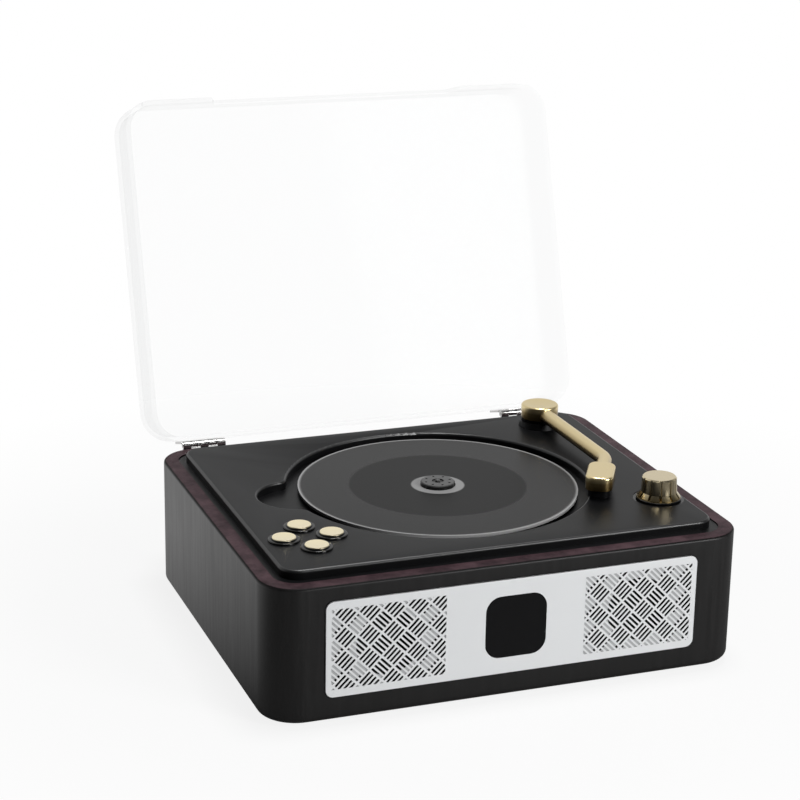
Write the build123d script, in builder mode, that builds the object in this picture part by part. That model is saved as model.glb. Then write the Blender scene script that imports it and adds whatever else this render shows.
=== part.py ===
from build123d import *
import os
from math import acos, asin, ceil, cos, degrees, hypot, pi, radians, sin, sqrt, tan

os.makedirs("parts", exist_ok=True)

# A desktop disc player in the style of a small record player. Millimetres, +Z up.
# The origin is the middle of the surface that it stands on. The front faces -Y.
# It is modelled as it stands in use: lid open, arm parked, disc on its spindle.

# Clearances
slide_gap = 0.1
seat_gap = 0.2
running_fit = 0.05

# Wooden cabinet
cabinet_width = 205.0
cabinet_depth = 171.5
cabinet_height = 57.0
cabinet_corner = 16.0
cabinet_wall = 8.0
cabinet_foot_radius = 3.0
cabinet_rim_radius = 1.2
rim_width = 6.5
post_radius = 6.0
post_height = 16.0

# Base and foot
base_thickness = 2.0
foot_height = 2.0
foot_inset = 20.0
foot_width = 8.0
foot_corner = 12.0
foot_edge = 0.6
screw_radius = 1.5
screw_head_radius = 2.8
screw_head_height = 1.2
base_screw_length = 12.0
vent_pitch = 8.0
vent_count = 7
vent_length = 22.0
vent_width = 2.4

# Front plate with its two grilles
plate_inset = 22.8
plate_width = cabinet_width - 2 * plate_inset
plate_height = 40.5
plate_thickness = 2.0
plate_corner = 3.5
plate_stand = 0.6
plate_centre = 30.45
plate_edge_radius = 0.4
grille_width = 47.4
grille_height = 33.6
grille_inset = 26.15
grille_x = plate_width / 2 - grille_inset
slot_cell = 10.0
slots_in_cell = 4
slot_width = 0.95
slot_land = 1.1
pocket_depth = 0.9
faint_depth = 0.3
grille_skin = 0.8
speaker_opening = 27.0
left_weave_start = (1.95, 4.65)
right_weave_start = (2.7, -0.75)

# Display window
window_width = 26.0
window_height = 26.2
window_corner = 6.4
window_lip = 1.4
window_lip_thickness = 1.0
display_board_thickness = 1.6
display_board_lap = 3.0
display_width = 20.0
display_height = 14.5

# Loudspeakers
speaker_frame_radius = 17.5
speaker_frame_thickness = 1.2
speaker_hole_gap = 1.0
speaker_depth = 9.0
speaker_back_radius = 10.5
magnet_radius = 9.0
magnet_thickness = 4.0
cone_thickness = 0.5
cone_neck_radius = 4.5
cone_gap = 0.6
cone_dome = 1.2

# Moulded deck
deck_rise = 3.6
deck_inset_x = 9.5
deck_inset_y = 9.95
deck_width = cabinet_width - 2 * deck_inset_x
deck_depth = cabinet_depth - 2 * deck_inset_y
deck_corner = 8.0
deck_edge_radius = 1.2
deck_wall = 2.0
boss_radius = 4.0
flange_thickness = 2.0
flange_drop = 0.4
well_radius = 65.0
well_x = 0.0
well_y = 1.5
well_depth = 4.0
well_edge_radius = 1.2
notch_x = -62.2
notch_y = 4.8
notch_radius = 16.7
notch_blend = 5.0

# Disc and spindle
disc_radius = 60.0
disc_bore = 7.5
disc_thickness = 1.2
disc_drop = 1.3
hub_clearance = 0.1
hub_stand = 1.8
hub_plate_radius = 13.0
hub_plate_thickness = 2.2
hub_hole_gap = 1.0
hub_tip_radius = 1.1
hub_tip_height = 0.5
hub_chamfer = 0.5
hub_dish_radius = 2.6
hub_dish_depth = 0.4
hub_sockets = 8
hub_socket_ring = 5.4
hub_socket_radius = 0.55
hub_socket_depth = 0.5
ball_radius = 0.8
ball_stand = 0.35
ball_rise = 0.64
ball_count = 3
spindle_radius = 1.0
spindle_motor_radius = 11.0
spindle_motor_gap = 1.4
spindle_motor_edge = 0.8
spindle_reach = 1.5
spindle_seat = 4.0

# Pick-up mechanism under the deck
chassis_thickness = 2.0
chassis_drop = 8.4
chassis_margin_left = 14.0
chassis_margin_right = 6.0
chassis_margin_front = 13.0
chassis_margin_rear = 3.0
chassis_screw_inset = 6.0
chassis_corner = 5.0
rod_radius = 1.5
rod_spacing = 24.0
rod_height = 3.9
rod_block = 5.0
rod_block_cover = 1.0
window_lap = 4.0
sled_half_width = 16.0
sled_length = 19.0
sled_height = 7.0
sled_corner = 2.0
sled_gap = 0.4
read_start = 23.0
read_end = 58.0
lens_holder_radius = 4.5
lens_holder_height = 2.2
lens_radius = 2.2
lens_height = 0.8
lens_edge = 0.5
laser_slot_width = 16.0
gear_module = 0.7
rack_pitch_x = 22.0
rack_thickness = 2.2
rack_spare = 3.0
pressure_angle = radians(20)
addendum = 0.8 * gear_module
dedendum = 1.05 * gear_module
small_teeth = 14
large_teeth = 28
pinion_teeth = 14
gear_thickness = 2.0
gear_side_gap = 0.3
pinion_overlap = 0.2
feed_motor_edge = 1.0
gear_pin_radius = 1.0
gear_hub_radius = 2.6
tooth_backlash = 0.16
gear_y = 34.0
feed_motor_radius = 8.0
feed_motor_length = 12.0
feed_shaft_seat = 4.0
damper_radius = 4.5
damper_height = 3.0
chassis_screw_length = 9.0

# Four buttons in a diamond
button_inset_x = 20.0
button_inset_y = 32.4
button_x = button_inset_x - deck_width / 2
button_y = button_inset_y - deck_depth / 2
button_spread_x = 10.0
button_spread_y = 11.5
button_radius = 5.25
button_stand = 1.6
button_edge = 0.2
button_travel = 1.0
cap_radius = 4.85
cap_thickness = 0.9
cap_stand = 0.4
cap_dish = 0.35
cap_edge = 0.2
cap_pin_radius = 1.5
cap_pin_length = 1.2
bezel_radius = 6.5
bezel_stand = 0.8
bezel_edge_radius = 0.45
bezel_wall = 1.0
bezel_reach = 1.0
button_collar = 0.7
button_collar_thickness = 1.0
button_stem_radius = 2.0
switch_side = 6.0
switch_height = 3.5
plunger_radius = 1.75
plunger_height = 1.3
button_board_depth = 12.0
button_board_width = 34.0
button_board_length = 36.0
board_screw_x = 13.0
board_screw_y = 14.0
board_screw_length = 7.0
board_thickness = 1.6

# Volume knob
knob_inset_x = 11.2
knob_inset_y = 30.7
knob_x = deck_width / 2 - knob_inset_x
knob_y = knob_inset_y - deck_depth / 2
knob_top_radius = 7.3
knob_radius = 7.6
knob_skirt_radius = 9.1
knob_skirt_height = 3.2
knob_foot_radius = 9.6
knob_foot_height = 0.9
knob_height = 9.9
knob_bevel = 0.6
knob_grooves = 11
knob_groove_width = 1.1
knob_groove_corner = 0.5
knob_groove_radius = 6.9
knob_groove_reach = 4.0
knob_groove_turn = -78.5
knob_edge = 0.3
collar_radius = 10.8
collar_thickness = 0.8
collar_drop = 0.2
pot_radius = 8.0
pot_length = 7.0
pot_bush_radius = 3.5
pot_shaft_radius = 3.0
pot_nut_size = 10.0
pot_nut_thickness = 1.6
knob_socket_depth = 5.0
knob_hollow_radius = 5.8
knob_hollow_height = 2.1

# Tone arm
arm_inset_x = 20.2
arm_inset_y = 16.4
arm_x = deck_width / 2 - arm_inset_x
arm_y = deck_depth / 2 - arm_inset_y
arm_collar_radius = 9.6
arm_collar_top_radius = 8.8
arm_collar_height = 4.0
arm_collar_flange = 2.7
arm_collar_neck = 8.3
arm_post_radius = 8.5
arm_post_top = 10.4
arm_post_dish = 0.5
arm_post_edge = 1.0
arm_tube_radius = 3.2
arm_tube_height = 6.6
arm_bend_radius = 14.0
arm_bend = 30.0
arm_offset = 11.9
arm_reach = 90.9
head_x = arm_x - arm_offset
head_y = arm_y - arm_reach
head_length = 22.0
head_width = 11.6
head_corner = 4.5
head_top = 10.2
head_thickness = 6.0
head_edge = 1.1
arm_foot_length = 17.0
arm_foot_width = 9.6
arm_foot_gap = 0.3
arm_foot_corner = 3.5
pivot_radius = 2.5
pivot_reach = 3.0
bush_wall = 1.5
bush_length = 10.0
clip_thickness = 1.0
clip_radius = 4.6

# Lid and hinges
lid_side_gap = 0.2
lid_width = cabinet_width - 2 * lid_side_gap
lid_wall = 2.0
lid_depth = 27.6
lid_set_back = 15.3
lid_length = cabinet_depth - lid_set_back
lid_corner = 14.0
lid_edge_radius = 2.6
lid_rest_gap = 0.3
lid_open_angle = 108.0
lid_skirt_gap = 0.6
lid_notch_inset = 40.3
lid_notch_width = lid_width - 2 * lid_notch_inset
lid_notch_depth = 14.0
lid_notch_slope = 5.0
hinge_inset_left = 22.5
hinge_inset_right = 27.5
hinge_length = 20.0
knuckles = 5
knuckle_radius = 1.5
hinge_pin_radius = 0.8
hinge_leaf_thickness = 1.0
hinge_leaf_reach = 11.0
leaf_start = 0.6
hinge_rise = 1.0
hinge_knuckle_gap = 0.15
hinge_screw_head = 1.9
hinge_screw_spacing = 12.0
hinge_screw_stand = 0.7
hinge_screw_edge = 0.4

# Electronics and the rear panel
main_board_width = 96.0
main_board_depth = 52.0
main_board_y = 20.0
main_board_stand = 5.0
board_stand_inset = 4.0
board_stand_radius = 3.0
capacitor_radius = 4.0
capacitor_height = 10.0
rear_panel_width = 58.0
rear_panel_height = 20.0
rear_panel_x = 44.0
rear_panel_centre = 20.0
rear_panel_thickness = 1.5
rear_panel_corner = 2.0
rear_panel_lap = 4.0
jack_spacing = 26.0
jack_radius = 3.6
jack_length = 12.0
jack_nut_radius = 5.2
inlet_width = 9.0
inlet_height = 3.4
inlet_depth = 7.5
socket_case_wall = 1.5
socket_floor = 1.0
inlet_wall = 0.3
inlet_tongue = 1.3
jack_bore = 1.8

# Levels and faces that follow from the sizes above
cabinet_bottom = foot_height
rim_top = cabinet_bottom + cabinet_height
deck_top = rim_top + deck_rise
flange_top = rim_top - flange_drop
flange_bottom = flange_top - flange_thickness
deck_ceiling = deck_top - deck_wall
well_floor = deck_top - well_depth
well_underside = well_floor - deck_wall
half_width = cabinet_width / 2
half_depth = cabinet_depth / 2
inner_width = cabinet_width - 2 * cabinet_wall
inner_depth = cabinet_depth - 2 * cabinet_wall
inner_corner = cabinet_corner - cabinet_wall
rebate_width = cabinet_width - 2 * rim_width
rebate_depth = cabinet_depth - 2 * rim_width
rebate_corner = cabinet_corner - rim_width
front_inside = -half_depth + cabinet_wall
rear_inside = half_depth - cabinet_wall
plate_front = -half_depth - plate_stand
plate_back = plate_front + plate_thickness
plate_z = cabinet_bottom + plate_centre
speaker_hole_radius = speaker_opening / 2 + speaker_hole_gap
disc_top = deck_top - disc_drop
disc_bottom = disc_top - disc_thickness


def front_plane(y):
    """A sketch plane at depth y that looks out of the front, +X right and +Z up."""
    return Plane.XZ.offset(-y)


def dish_ball(reach, depth):
    """Radius of the ball that sinks a dish of this depth and reach into a flat top."""
    return (reach**2 + depth**2) / (2 * depth)


def finish(piece, name):
    """Labels a finished piece and writes it under its node's name."""
    piece.part.label = name
    export_step(piece.part, "parts/" + name + ".step")


# Cabinet: a veneered box with rounded corners, open at the top and the bottom.
base_screw_sites = [
    (sx * (inner_width / 2 - post_radius), sy * (inner_depth / 2 - post_radius))
    for sx in (-1, 1)
    for sy in (-1, 1)
]
rear_panel_z = cabinet_bottom + rear_panel_centre
window_opening_width = window_width + 2 * window_lip + 2 * seat_gap
window_opening_height = window_height + 2 * window_lip + 2 * seat_gap

with BuildPart() as cabinet_shell:
    with BuildSketch(Plane.XY.offset(cabinet_bottom)):
        RectangleRounded(cabinet_width, cabinet_depth, cabinet_corner)
    extrude(amount=cabinet_height)
    fillet(cabinet_shell.faces().sort_by(Axis.Z)[0].edges(), cabinet_foot_radius)
    fillet(cabinet_shell.faces().sort_by(Axis.Z)[-1].edges(), cabinet_rim_radius)
    with BuildSketch(Plane.XY.offset(cabinet_bottom)):
        RectangleRounded(inner_width, inner_depth, inner_corner)
    extrude(amount=cabinet_height, mode=Mode.SUBTRACT)
    # Rebates that hold the deck's flange above and the base below
    with BuildSketch(Plane.XY.offset(rim_top)):
        RectangleRounded(rebate_width, rebate_depth, rebate_corner)
    extrude(amount=flange_bottom - rim_top, mode=Mode.SUBTRACT)
    with BuildSketch(Plane.XY.offset(cabinet_bottom)):
        RectangleRounded(rebate_width, rebate_depth, rebate_corner)
    extrude(amount=base_thickness, mode=Mode.SUBTRACT)
    # Corner posts for the base's screws, joined to the walls by their square half
    with BuildSketch(Plane.XY.offset(cabinet_bottom + base_thickness)):
        with Locations(*base_screw_sites):
            Circle(post_radius)
        for x, y in base_screw_sites:
            with Locations((x + post_radius / 2 * (1 if x > 0 else -1), y)):
                Rectangle(post_radius, post_radius * 2)
        RectangleRounded(inner_width, inner_depth, inner_corner, mode=Mode.INTERSECT)
    extrude(amount=post_height)
    with BuildSketch(Plane.XY.offset(cabinet_bottom + base_thickness)):
        with Locations(*base_screw_sites):
            Circle(screw_radius)
    extrude(amount=base_screw_length, mode=Mode.SUBTRACT)
    # Seat of the front plate, its window and the two loudspeaker holes
    with BuildSketch(front_plane(-half_depth)):
        with Locations((0, plate_z)):
            RectangleRounded(
                plate_width + 2 * seat_gap, plate_height + 2 * seat_gap, plate_corner + seat_gap
            )
    extrude(amount=-(plate_back + half_depth), mode=Mode.SUBTRACT)
    with BuildSketch(front_plane(-half_depth)):
        with Locations((0, plate_z)):
            RectangleRounded(
                window_opening_width, window_opening_height, window_corner + window_lip
            )
        with Locations((-grille_x, plate_z), (grille_x, plate_z)):
            Circle(speaker_hole_radius)
    extrude(amount=-cabinet_wall, mode=Mode.SUBTRACT)
    # Seat and opening of the rear panel
    with BuildSketch(front_plane(half_depth)):
        with Locations((rear_panel_x, rear_panel_z)):
            RectangleRounded(
                rear_panel_width + 2 * seat_gap,
                rear_panel_height + 2 * seat_gap,
                rear_panel_corner + seat_gap,
            )
    extrude(amount=rear_panel_thickness, mode=Mode.SUBTRACT)
    with BuildSketch(front_plane(half_depth)):
        with Locations((rear_panel_x, rear_panel_z)):
            RectangleRounded(
                rear_panel_width - 2 * rear_panel_lap,
                rear_panel_height - rear_panel_lap,
                rear_panel_corner,
            )
    extrude(amount=cabinet_wall, mode=Mode.SUBTRACT)
finish(cabinet_shell, "cabinet_shell")


# Base plate, let into the bottom rebate and held by four screws in the posts
base_top = cabinet_bottom + base_thickness
main_board_sites = [
    (
        sx * (main_board_width / 2 - board_stand_inset),
        main_board_y + sy * (main_board_depth / 2 - board_stand_inset),
    )
    for sx in (-1, 1)
    for sy in (-1, 1)
]

with BuildPart() as base_plate:
    with BuildSketch(Plane.XY.offset(cabinet_bottom)):
        RectangleRounded(
            rebate_width - 2 * seat_gap, rebate_depth - 2 * seat_gap, rebate_corner - seat_gap
        )
    extrude(amount=base_thickness)
    with BuildSketch(Plane.XY.offset(base_top)):
        with Locations(*main_board_sites):
            Circle(board_stand_radius)
    extrude(amount=main_board_stand)
    with BuildSketch(Plane.XY.offset(cabinet_bottom)):
        with Locations(*base_screw_sites):
            Circle(screw_head_radius + seat_gap)
    extrude(amount=screw_head_height, mode=Mode.SUBTRACT)
    with BuildSketch(Plane.XY.offset(cabinet_bottom)):
        with Locations(*base_screw_sites):
            Circle(screw_radius + slide_gap)
    extrude(amount=base_thickness, mode=Mode.SUBTRACT)
    # Cooling slots below the board
    with BuildSketch(Plane.XY.offset(cabinet_bottom)):
        with Locations((0, -half_depth / 2)):
            with GridLocations(vent_pitch, vent_pitch, vent_count, 1):
                SlotOverall(vent_length, vent_width, rotation=90)
    extrude(amount=base_thickness, mode=Mode.SUBTRACT)
finish(base_plate, "base_plate")

# One moulded rubber ring is the foot, round the middle of which the origin lies
foot_length = cabinet_width - 2 * foot_inset
foot_span = cabinet_depth - 2 * foot_inset
with BuildPart() as rubber_foot:
    with BuildSketch():
        RectangleRounded(foot_length, foot_span, foot_corner)
        RectangleRounded(
            foot_length - 2 * foot_width,
            foot_span - 2 * foot_width,
            foot_corner - foot_width,
            mode=Mode.SUBTRACT,
        )
    extrude(amount=foot_height)
    chamfer(rubber_foot.faces().sort_by(Axis.Z)[0].edges(), foot_edge)
finish(rubber_foot, "rubber_foot")

with BuildPart() as base_screws:
    with BuildSketch(Plane.XY.offset(cabinet_bottom)):
        with Locations(*base_screw_sites):
            Circle(screw_head_radius)
    extrude(amount=screw_head_height)
    with BuildSketch(Plane.XY.offset(cabinet_bottom + screw_head_height)):
        with Locations(*base_screw_sites):
            Circle(screw_radius)
    extrude(amount=base_screw_length - screw_head_height)
finish(base_screws, "base_screws")


# Front plate: each grille is a basket weave, cells of four slots that turn by a
# right angle from cell to cell, all at 45 degrees. The slots are shallow pockets,
# and a round recess behind opens them in front of the loudspeaker. The weave starts
# where the first cell that leans right stands, from the middle of its grille.
slot_pitch = slot_cell / sqrt(2) / slots_in_cell
slot_length = slot_cell / sqrt(2) - slot_land
slot_end = (slot_length - slot_width) / 2
slot_reach = (speaker_opening + slot_length) / 2


def slot_places(start, lean):
    """Middles of the slots that lean right (45) or left (-45) in one grille."""
    places = []
    shift = 0 if lean > 0 else slot_cell / 2
    reach_x = ceil(grille_width / 2 / slot_cell) + 1
    reach_z = ceil(grille_height / 2 / slot_cell) + 1
    for column in range(-reach_x, reach_x + 1):
        for row in range(-reach_z, reach_z + 1):
            for number in range(slots_in_cell):
                aside = (number - (slots_in_cell - 1) / 2) * slot_pitch
                x = start[0] + shift + column * slot_cell + aside * sin(radians(lean))
                z = start[1] + shift + row * slot_cell - aside * cos(radians(lean))
                inside_x = abs(x) < grille_width / 2 + slot_length / 2
                if inside_x and abs(z) < grille_height / 2 + slot_length / 2:
                    places.append((x, z))
    return places


def dot_places(slots):
    """Middles of the dots at both ends of these slots, where they are clear of the edge."""
    across = slot_end / sqrt(2)
    ends = [(x + turn * across, z - turn * across) for x, z in slots for turn in (-1, 1)]
    limit_x = grille_width / 2 - slot_width
    limit_z = grille_height / 2 - slot_width
    inside = [(x, z) for x, z in ends if abs(x) < limit_x and abs(z) < limit_z]
    return [place for place in inside if hypot(*place) > slot_reach]


with BuildPart() as front_plate:
    with BuildSketch(front_plane(plate_back)):
        with Locations((0, plate_z)):
            RectangleRounded(plate_width, plate_height, plate_corner)
    extrude(amount=plate_thickness)
    fillet(front_plate.faces().sort_by(Axis.Y)[0].edges(), plate_edge_radius)
    with BuildSketch(front_plane(plate_back)):
        with Locations((0, plate_z)):
            RectangleRounded(
                window_width + 2 * slide_gap, window_height + 2 * slide_gap, window_corner
            )
    extrude(amount=plate_thickness, mode=Mode.SUBTRACT)
    for side, start in ((-1, left_weave_start), (1, right_weave_start)):
        right_slots = slot_places(start, 45)
        left_slots = slot_places(start, -45)
        open_slots = [place for place in left_slots if hypot(*place) < slot_reach]
        # Slots that lean right are deep. The others are faint lines between two dots,
        # but in front of the loudspeaker they are deep too, so that all of them open.
        for places, turn, depth in ((right_slots, 45, pocket_depth), (left_slots, -45, faint_depth)):
            with BuildSketch(front_plane(plate_front)):
                with Locations((side * grille_x, plate_z)):
                    with Locations(*places):
                        Rectangle(slot_length, slot_width, rotation=turn)
                    Rectangle(grille_width, grille_height, mode=Mode.INTERSECT)
            extrude(amount=-depth, mode=Mode.SUBTRACT)
        with BuildSketch(front_plane(plate_front)):
            with Locations((side * grille_x, plate_z)):
                with Locations(*open_slots):
                    Rectangle(slot_length, slot_width, rotation=-45)
                Circle(speaker_opening / 2, mode=Mode.INTERSECT)
        extrude(amount=-pocket_depth, mode=Mode.SUBTRACT)
        with BuildSketch(front_plane(plate_front)):
            with Locations((side * grille_x, plate_z)):
                with Locations(*dot_places(left_slots)):
                    Rectangle(slot_width, slot_width, rotation=45)
        extrude(amount=-pocket_depth, mode=Mode.SUBTRACT)
    with BuildSketch(front_plane(plate_back)):
        with Locations((-grille_x, plate_z), (grille_x, plate_z)):
            Circle(speaker_opening / 2)
    extrude(amount=plate_thickness - grille_skin, mode=Mode.SUBTRACT)
finish(front_plate, "front_plate")


# Display window: smoked acrylic, its lip held behind the plate
with BuildPart() as display_window:
    with BuildSketch(front_plane(plate_back)):
        with Locations((0, plate_z)):
            RectangleRounded(window_width, window_height, window_corner - slide_gap)
    extrude(amount=plate_thickness)
    with BuildSketch(front_plane(plate_back)):
        with Locations((0, plate_z)):
            RectangleRounded(
                window_width + 2 * window_lip,
                window_height + 2 * window_lip,
                window_corner + window_lip - slide_gap,
            )
    extrude(amount=-window_lip_thickness)
finish(display_window, "display_window")

display_board_front = front_inside + display_board_thickness
with BuildPart() as display_board:
    with BuildSketch(front_plane(display_board_front)):
        with Locations((0, plate_z)):
            Rectangle(
                window_opening_width + 2 * display_board_lap,
                window_opening_height + 2 * display_board_lap,
            )
    extrude(amount=display_board_thickness)
    # The light block that shines through the window
    with BuildSketch(front_plane(front_inside)):
        with Locations((0, plate_z)):
            Rectangle(display_width, display_height)
    extrude(amount=front_inside - plate_back - window_lip_thickness - seat_gap)
finish(display_board, "display_board")


# Loudspeakers: pressed frame and magnet, with a paper cone inside
cone_back = front_inside + speaker_depth - speaker_frame_thickness
with BuildPart() as speaker_frames:
    for side in (-1, 1):
        with BuildSketch(front_plane(front_inside)):
            with Locations((side * grille_x, plate_z)):
                Circle(speaker_frame_radius)
                Circle(speaker_opening / 2, mode=Mode.SUBTRACT)
        extrude(amount=-speaker_frame_thickness)
        basket_plane = front_plane(front_inside + speaker_frame_thickness)
        basket_end = front_plane(front_inside + speaker_depth)
        with BuildSketch(basket_plane):
            with Locations((side * grille_x, plate_z)):
                Circle(speaker_opening / 2 + speaker_frame_thickness)
        with BuildSketch(basket_end):
            with Locations((side * grille_x, plate_z)):
                Circle(speaker_back_radius)
        loft()
        with BuildSketch(front_plane(front_inside)):
            with Locations((side * grille_x, plate_z)):
                Circle(speaker_opening / 2)
        with BuildSketch(front_plane(cone_back)):
            with Locations((side * grille_x, plate_z)):
                Circle(speaker_back_radius - speaker_frame_thickness)
        loft(mode=Mode.SUBTRACT)
        with BuildSketch(basket_end):
            with Locations((side * grille_x, plate_z)):
                Circle(magnet_radius)
        extrude(amount=-magnet_thickness)
finish(speaker_frames, "speaker_frames")

with BuildPart() as speaker_cones:
    for side in (-1, 1):
        with BuildSketch(Plane.XY.offset(plate_z)):
            with BuildLine():
                start_y = front_inside + cone_gap
                rim = speaker_opening / 2 - cone_gap
                Polyline(
                    (side * grille_x, cone_back),
                    (side * grille_x + cone_neck_radius, cone_back),
                    (side * grille_x + rim, start_y + cone_thickness),
                    (side * grille_x + rim, start_y),
                    (side * grille_x + cone_neck_radius, cone_back - cone_dome),
                    (side * grille_x, cone_back - 2 * cone_dome),
                    close=True,
                )
            make_face()
        revolve(axis=Axis((side * grille_x, 0, plate_z), (0, 1, 0)))
finish(speaker_cones, "speaker_cones")


# Deck: one moulding. A flange lies in the cabinet's rebate, and the raised top
# holds the disc well with its finger notch, the button holes and the bosses.
gear_x = well_x + rack_pitch_x + gear_module * small_teeth / 2
gear_centre_y = well_y + gear_y
pinion_x = gear_x + gear_module * (large_teeth + pinion_teeth) / 2
chassis_top = well_underside - chassis_drop
chassis_left = well_x - sled_half_width - chassis_margin_left
chassis_right = pinion_x + feed_motor_radius + chassis_margin_right
chassis_front = well_y - spindle_motor_radius - chassis_margin_front
chassis_rear = rear_inside - chassis_margin_rear
chassis_sites = [
    (x, y)
    for x in (chassis_left + chassis_screw_inset, chassis_right - chassis_screw_inset)
    for y in (chassis_front + chassis_screw_inset, chassis_rear - chassis_screw_inset)
]
boss_bottom = chassis_top + damper_height
button_sites = [
    (button_x, button_y + button_spread_y),
    (button_x - button_spread_x, button_y),
    (button_x + button_spread_x, button_y),
    (button_x, button_y - button_spread_y),
]
button_board_top = deck_top - button_board_depth
button_board_sites = [
    (button_x - board_screw_x, button_y + board_screw_y),
    (button_x + board_screw_x, button_y - board_screw_y),
]
bezel_body_radius = button_radius + slide_gap + bezel_wall
bush_radius = pivot_radius + running_fit + bush_wall
bush_top = deck_top
bush_bottom = bush_top - bush_length

# Middles of the two arcs that blend the notch into the well. Each touches both circles.
centre_gap = hypot(notch_x - well_x, notch_y - well_y)
along = (well_radius + notch_blend) ** 2 - (notch_radius + notch_blend) ** 2
along = (along / centre_gap + centre_gap) / 2
aside = sqrt((well_radius + notch_blend) ** 2 - along**2)
to_notch = Vector(notch_x - well_x, notch_y - well_y).normalized()
blend_middle = Vector(well_x, well_y) + to_notch * along
blend_far = (blend_middle.X + to_notch.Y * aside, blend_middle.Y - to_notch.X * aside)
blend_near = (blend_middle.X - to_notch.Y * aside, blend_middle.Y + to_notch.X * aside)

with BuildPart() as top_deck:
    with BuildSketch(Plane.XY.offset(flange_bottom)):
        RectangleRounded(
            rebate_width - 2 * seat_gap, rebate_depth - 2 * seat_gap, rebate_corner - seat_gap
        )
    extrude(amount=flange_thickness)
    with BuildSketch(Plane.XY.offset(flange_bottom)):
        RectangleRounded(deck_width, deck_depth, deck_corner)
    extrude(amount=deck_top - flange_bottom)
    fillet(top_deck.faces().sort_by(Axis.Z)[-1].edges(), deck_edge_radius)
    with BuildSketch(Plane.XY.offset(flange_bottom)):
        RectangleRounded(
            deck_width - 2 * deck_wall, deck_depth - 2 * deck_wall, deck_corner - deck_wall
        )
    extrude(amount=deck_ceiling - flange_bottom, mode=Mode.SUBTRACT)
    # Outside of the well and the notch, below the top
    with BuildSketch(Plane.XY.offset(well_underside)):
        with Locations((well_x, well_y)):
            Circle(well_radius + deck_wall)
        with Locations((notch_x, notch_y)):
            Circle(notch_radius + deck_wall)
    extrude(amount=deck_ceiling - well_underside)
    # Bosses for the pick-up mechanism and the button board
    with BuildSketch(Plane.XY.offset(boss_bottom)):
        with Locations(*chassis_sites):
            Circle(boss_radius)
    extrude(amount=deck_ceiling - boss_bottom)
    with BuildSketch(Plane.XY.offset(button_board_top)):
        with Locations(*button_board_sites):
            Circle(boss_radius)
    extrude(amount=deck_ceiling - button_board_top)
    with BuildSketch(Plane.XY.offset(bush_bottom)):
        with Locations((arm_x, arm_y)):
            Circle(bush_radius + deck_wall)
    extrude(amount=deck_ceiling - bush_bottom)
    # Inside of the well and the notch, blended where they meet, with a soft top edge
    with BuildSketch(Plane.XY.offset(well_floor)):
        with BuildLine():
            Polyline((well_x, well_y), blend_far, (notch_x, notch_y), blend_near, close=True)
        make_face()
        with Locations(blend_far, blend_near):
            Circle(notch_blend, mode=Mode.SUBTRACT)
        with Locations((well_x, well_y)):
            Circle(well_radius)
        with Locations((notch_x, notch_y)):
            Circle(notch_radius)
    extrude(amount=well_depth, mode=Mode.SUBTRACT)
    fillet(
        top_deck.faces().sort_by(Axis.Z)[-1].inner_wires()[0].edges(), well_edge_radius
    )
    # Holes for the hub and for the lens, which reads along +Y
    with BuildSketch(Plane.XY.offset(well_underside)):
        with Locations((well_x, well_y)):
            Circle(hub_plate_radius + hub_hole_gap)
        with Locations((well_x, well_y + (read_start + read_end) / 2)):
            SlotOverall(
                read_end - read_start + laser_slot_width, laser_slot_width, rotation=90
            )
    extrude(amount=deck_wall, mode=Mode.SUBTRACT)
    # Holes in the top for the buttons, the knob and the arm
    with BuildSketch(Plane.XY.offset(deck_ceiling - bezel_reach - slide_gap)):
        with Locations(*button_sites):
            Circle(bezel_body_radius + slide_gap)
        with Locations((knob_x, knob_y)):
            Circle(pot_bush_radius + slide_gap)
    extrude(amount=deck_top, mode=Mode.SUBTRACT)
    with BuildSketch(Plane.XY.offset(deck_top)):
        with Locations((knob_x, knob_y)):
            Circle(collar_radius + slide_gap)
    extrude(amount=-(collar_thickness + collar_drop), mode=Mode.SUBTRACT)
    with BuildSketch(Plane.XY.offset(bush_bottom)):
        with Locations((arm_x, arm_y)):
            Circle(bush_radius)
    extrude(amount=bush_length, mode=Mode.SUBTRACT)
    # Pilot holes for the screws of the mechanism and of the button board
    with BuildSketch(Plane.XY.offset(button_board_top)):
        with Locations(*button_board_sites):
            Circle(screw_radius)
    extrude(amount=board_screw_length - board_thickness, mode=Mode.SUBTRACT)
    with BuildSketch(Plane.XY.offset(boss_bottom)):
        with Locations(*chassis_sites):
            Circle(screw_radius)
    extrude(amount=chassis_screw_length - damper_height - chassis_thickness, mode=Mode.SUBTRACT)
finish(top_deck, "top_deck")


# Disc: clear polycarbonate with its bore and the stacking ring
with BuildPart() as compact_disc:
    with BuildSketch(Plane.XY.offset(disc_bottom)):
        with Locations((well_x, well_y)):
            Circle(disc_radius)
            Circle(disc_bore, mode=Mode.SUBTRACT)
    extrude(amount=disc_thickness)
finish(compact_disc, "compact_disc")


# Spindle hub: a plate under the disc, and a snap hub that stands through its bore
hub_radius = disc_bore - hub_clearance
hub_top = disc_top + hub_stand
hub_plate_bottom = disc_bottom - hub_plate_thickness
ball_ring = hub_radius - ball_radius + ball_stand
ball_z = disc_top + ball_rise
with BuildPart() as hub_balls:
    with Locations((well_x, well_y, ball_z)):
        with PolarLocations(ball_ring, ball_count, start_angle=90):
            Sphere(ball_radius)
finish(hub_balls, "hub_balls")

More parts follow.
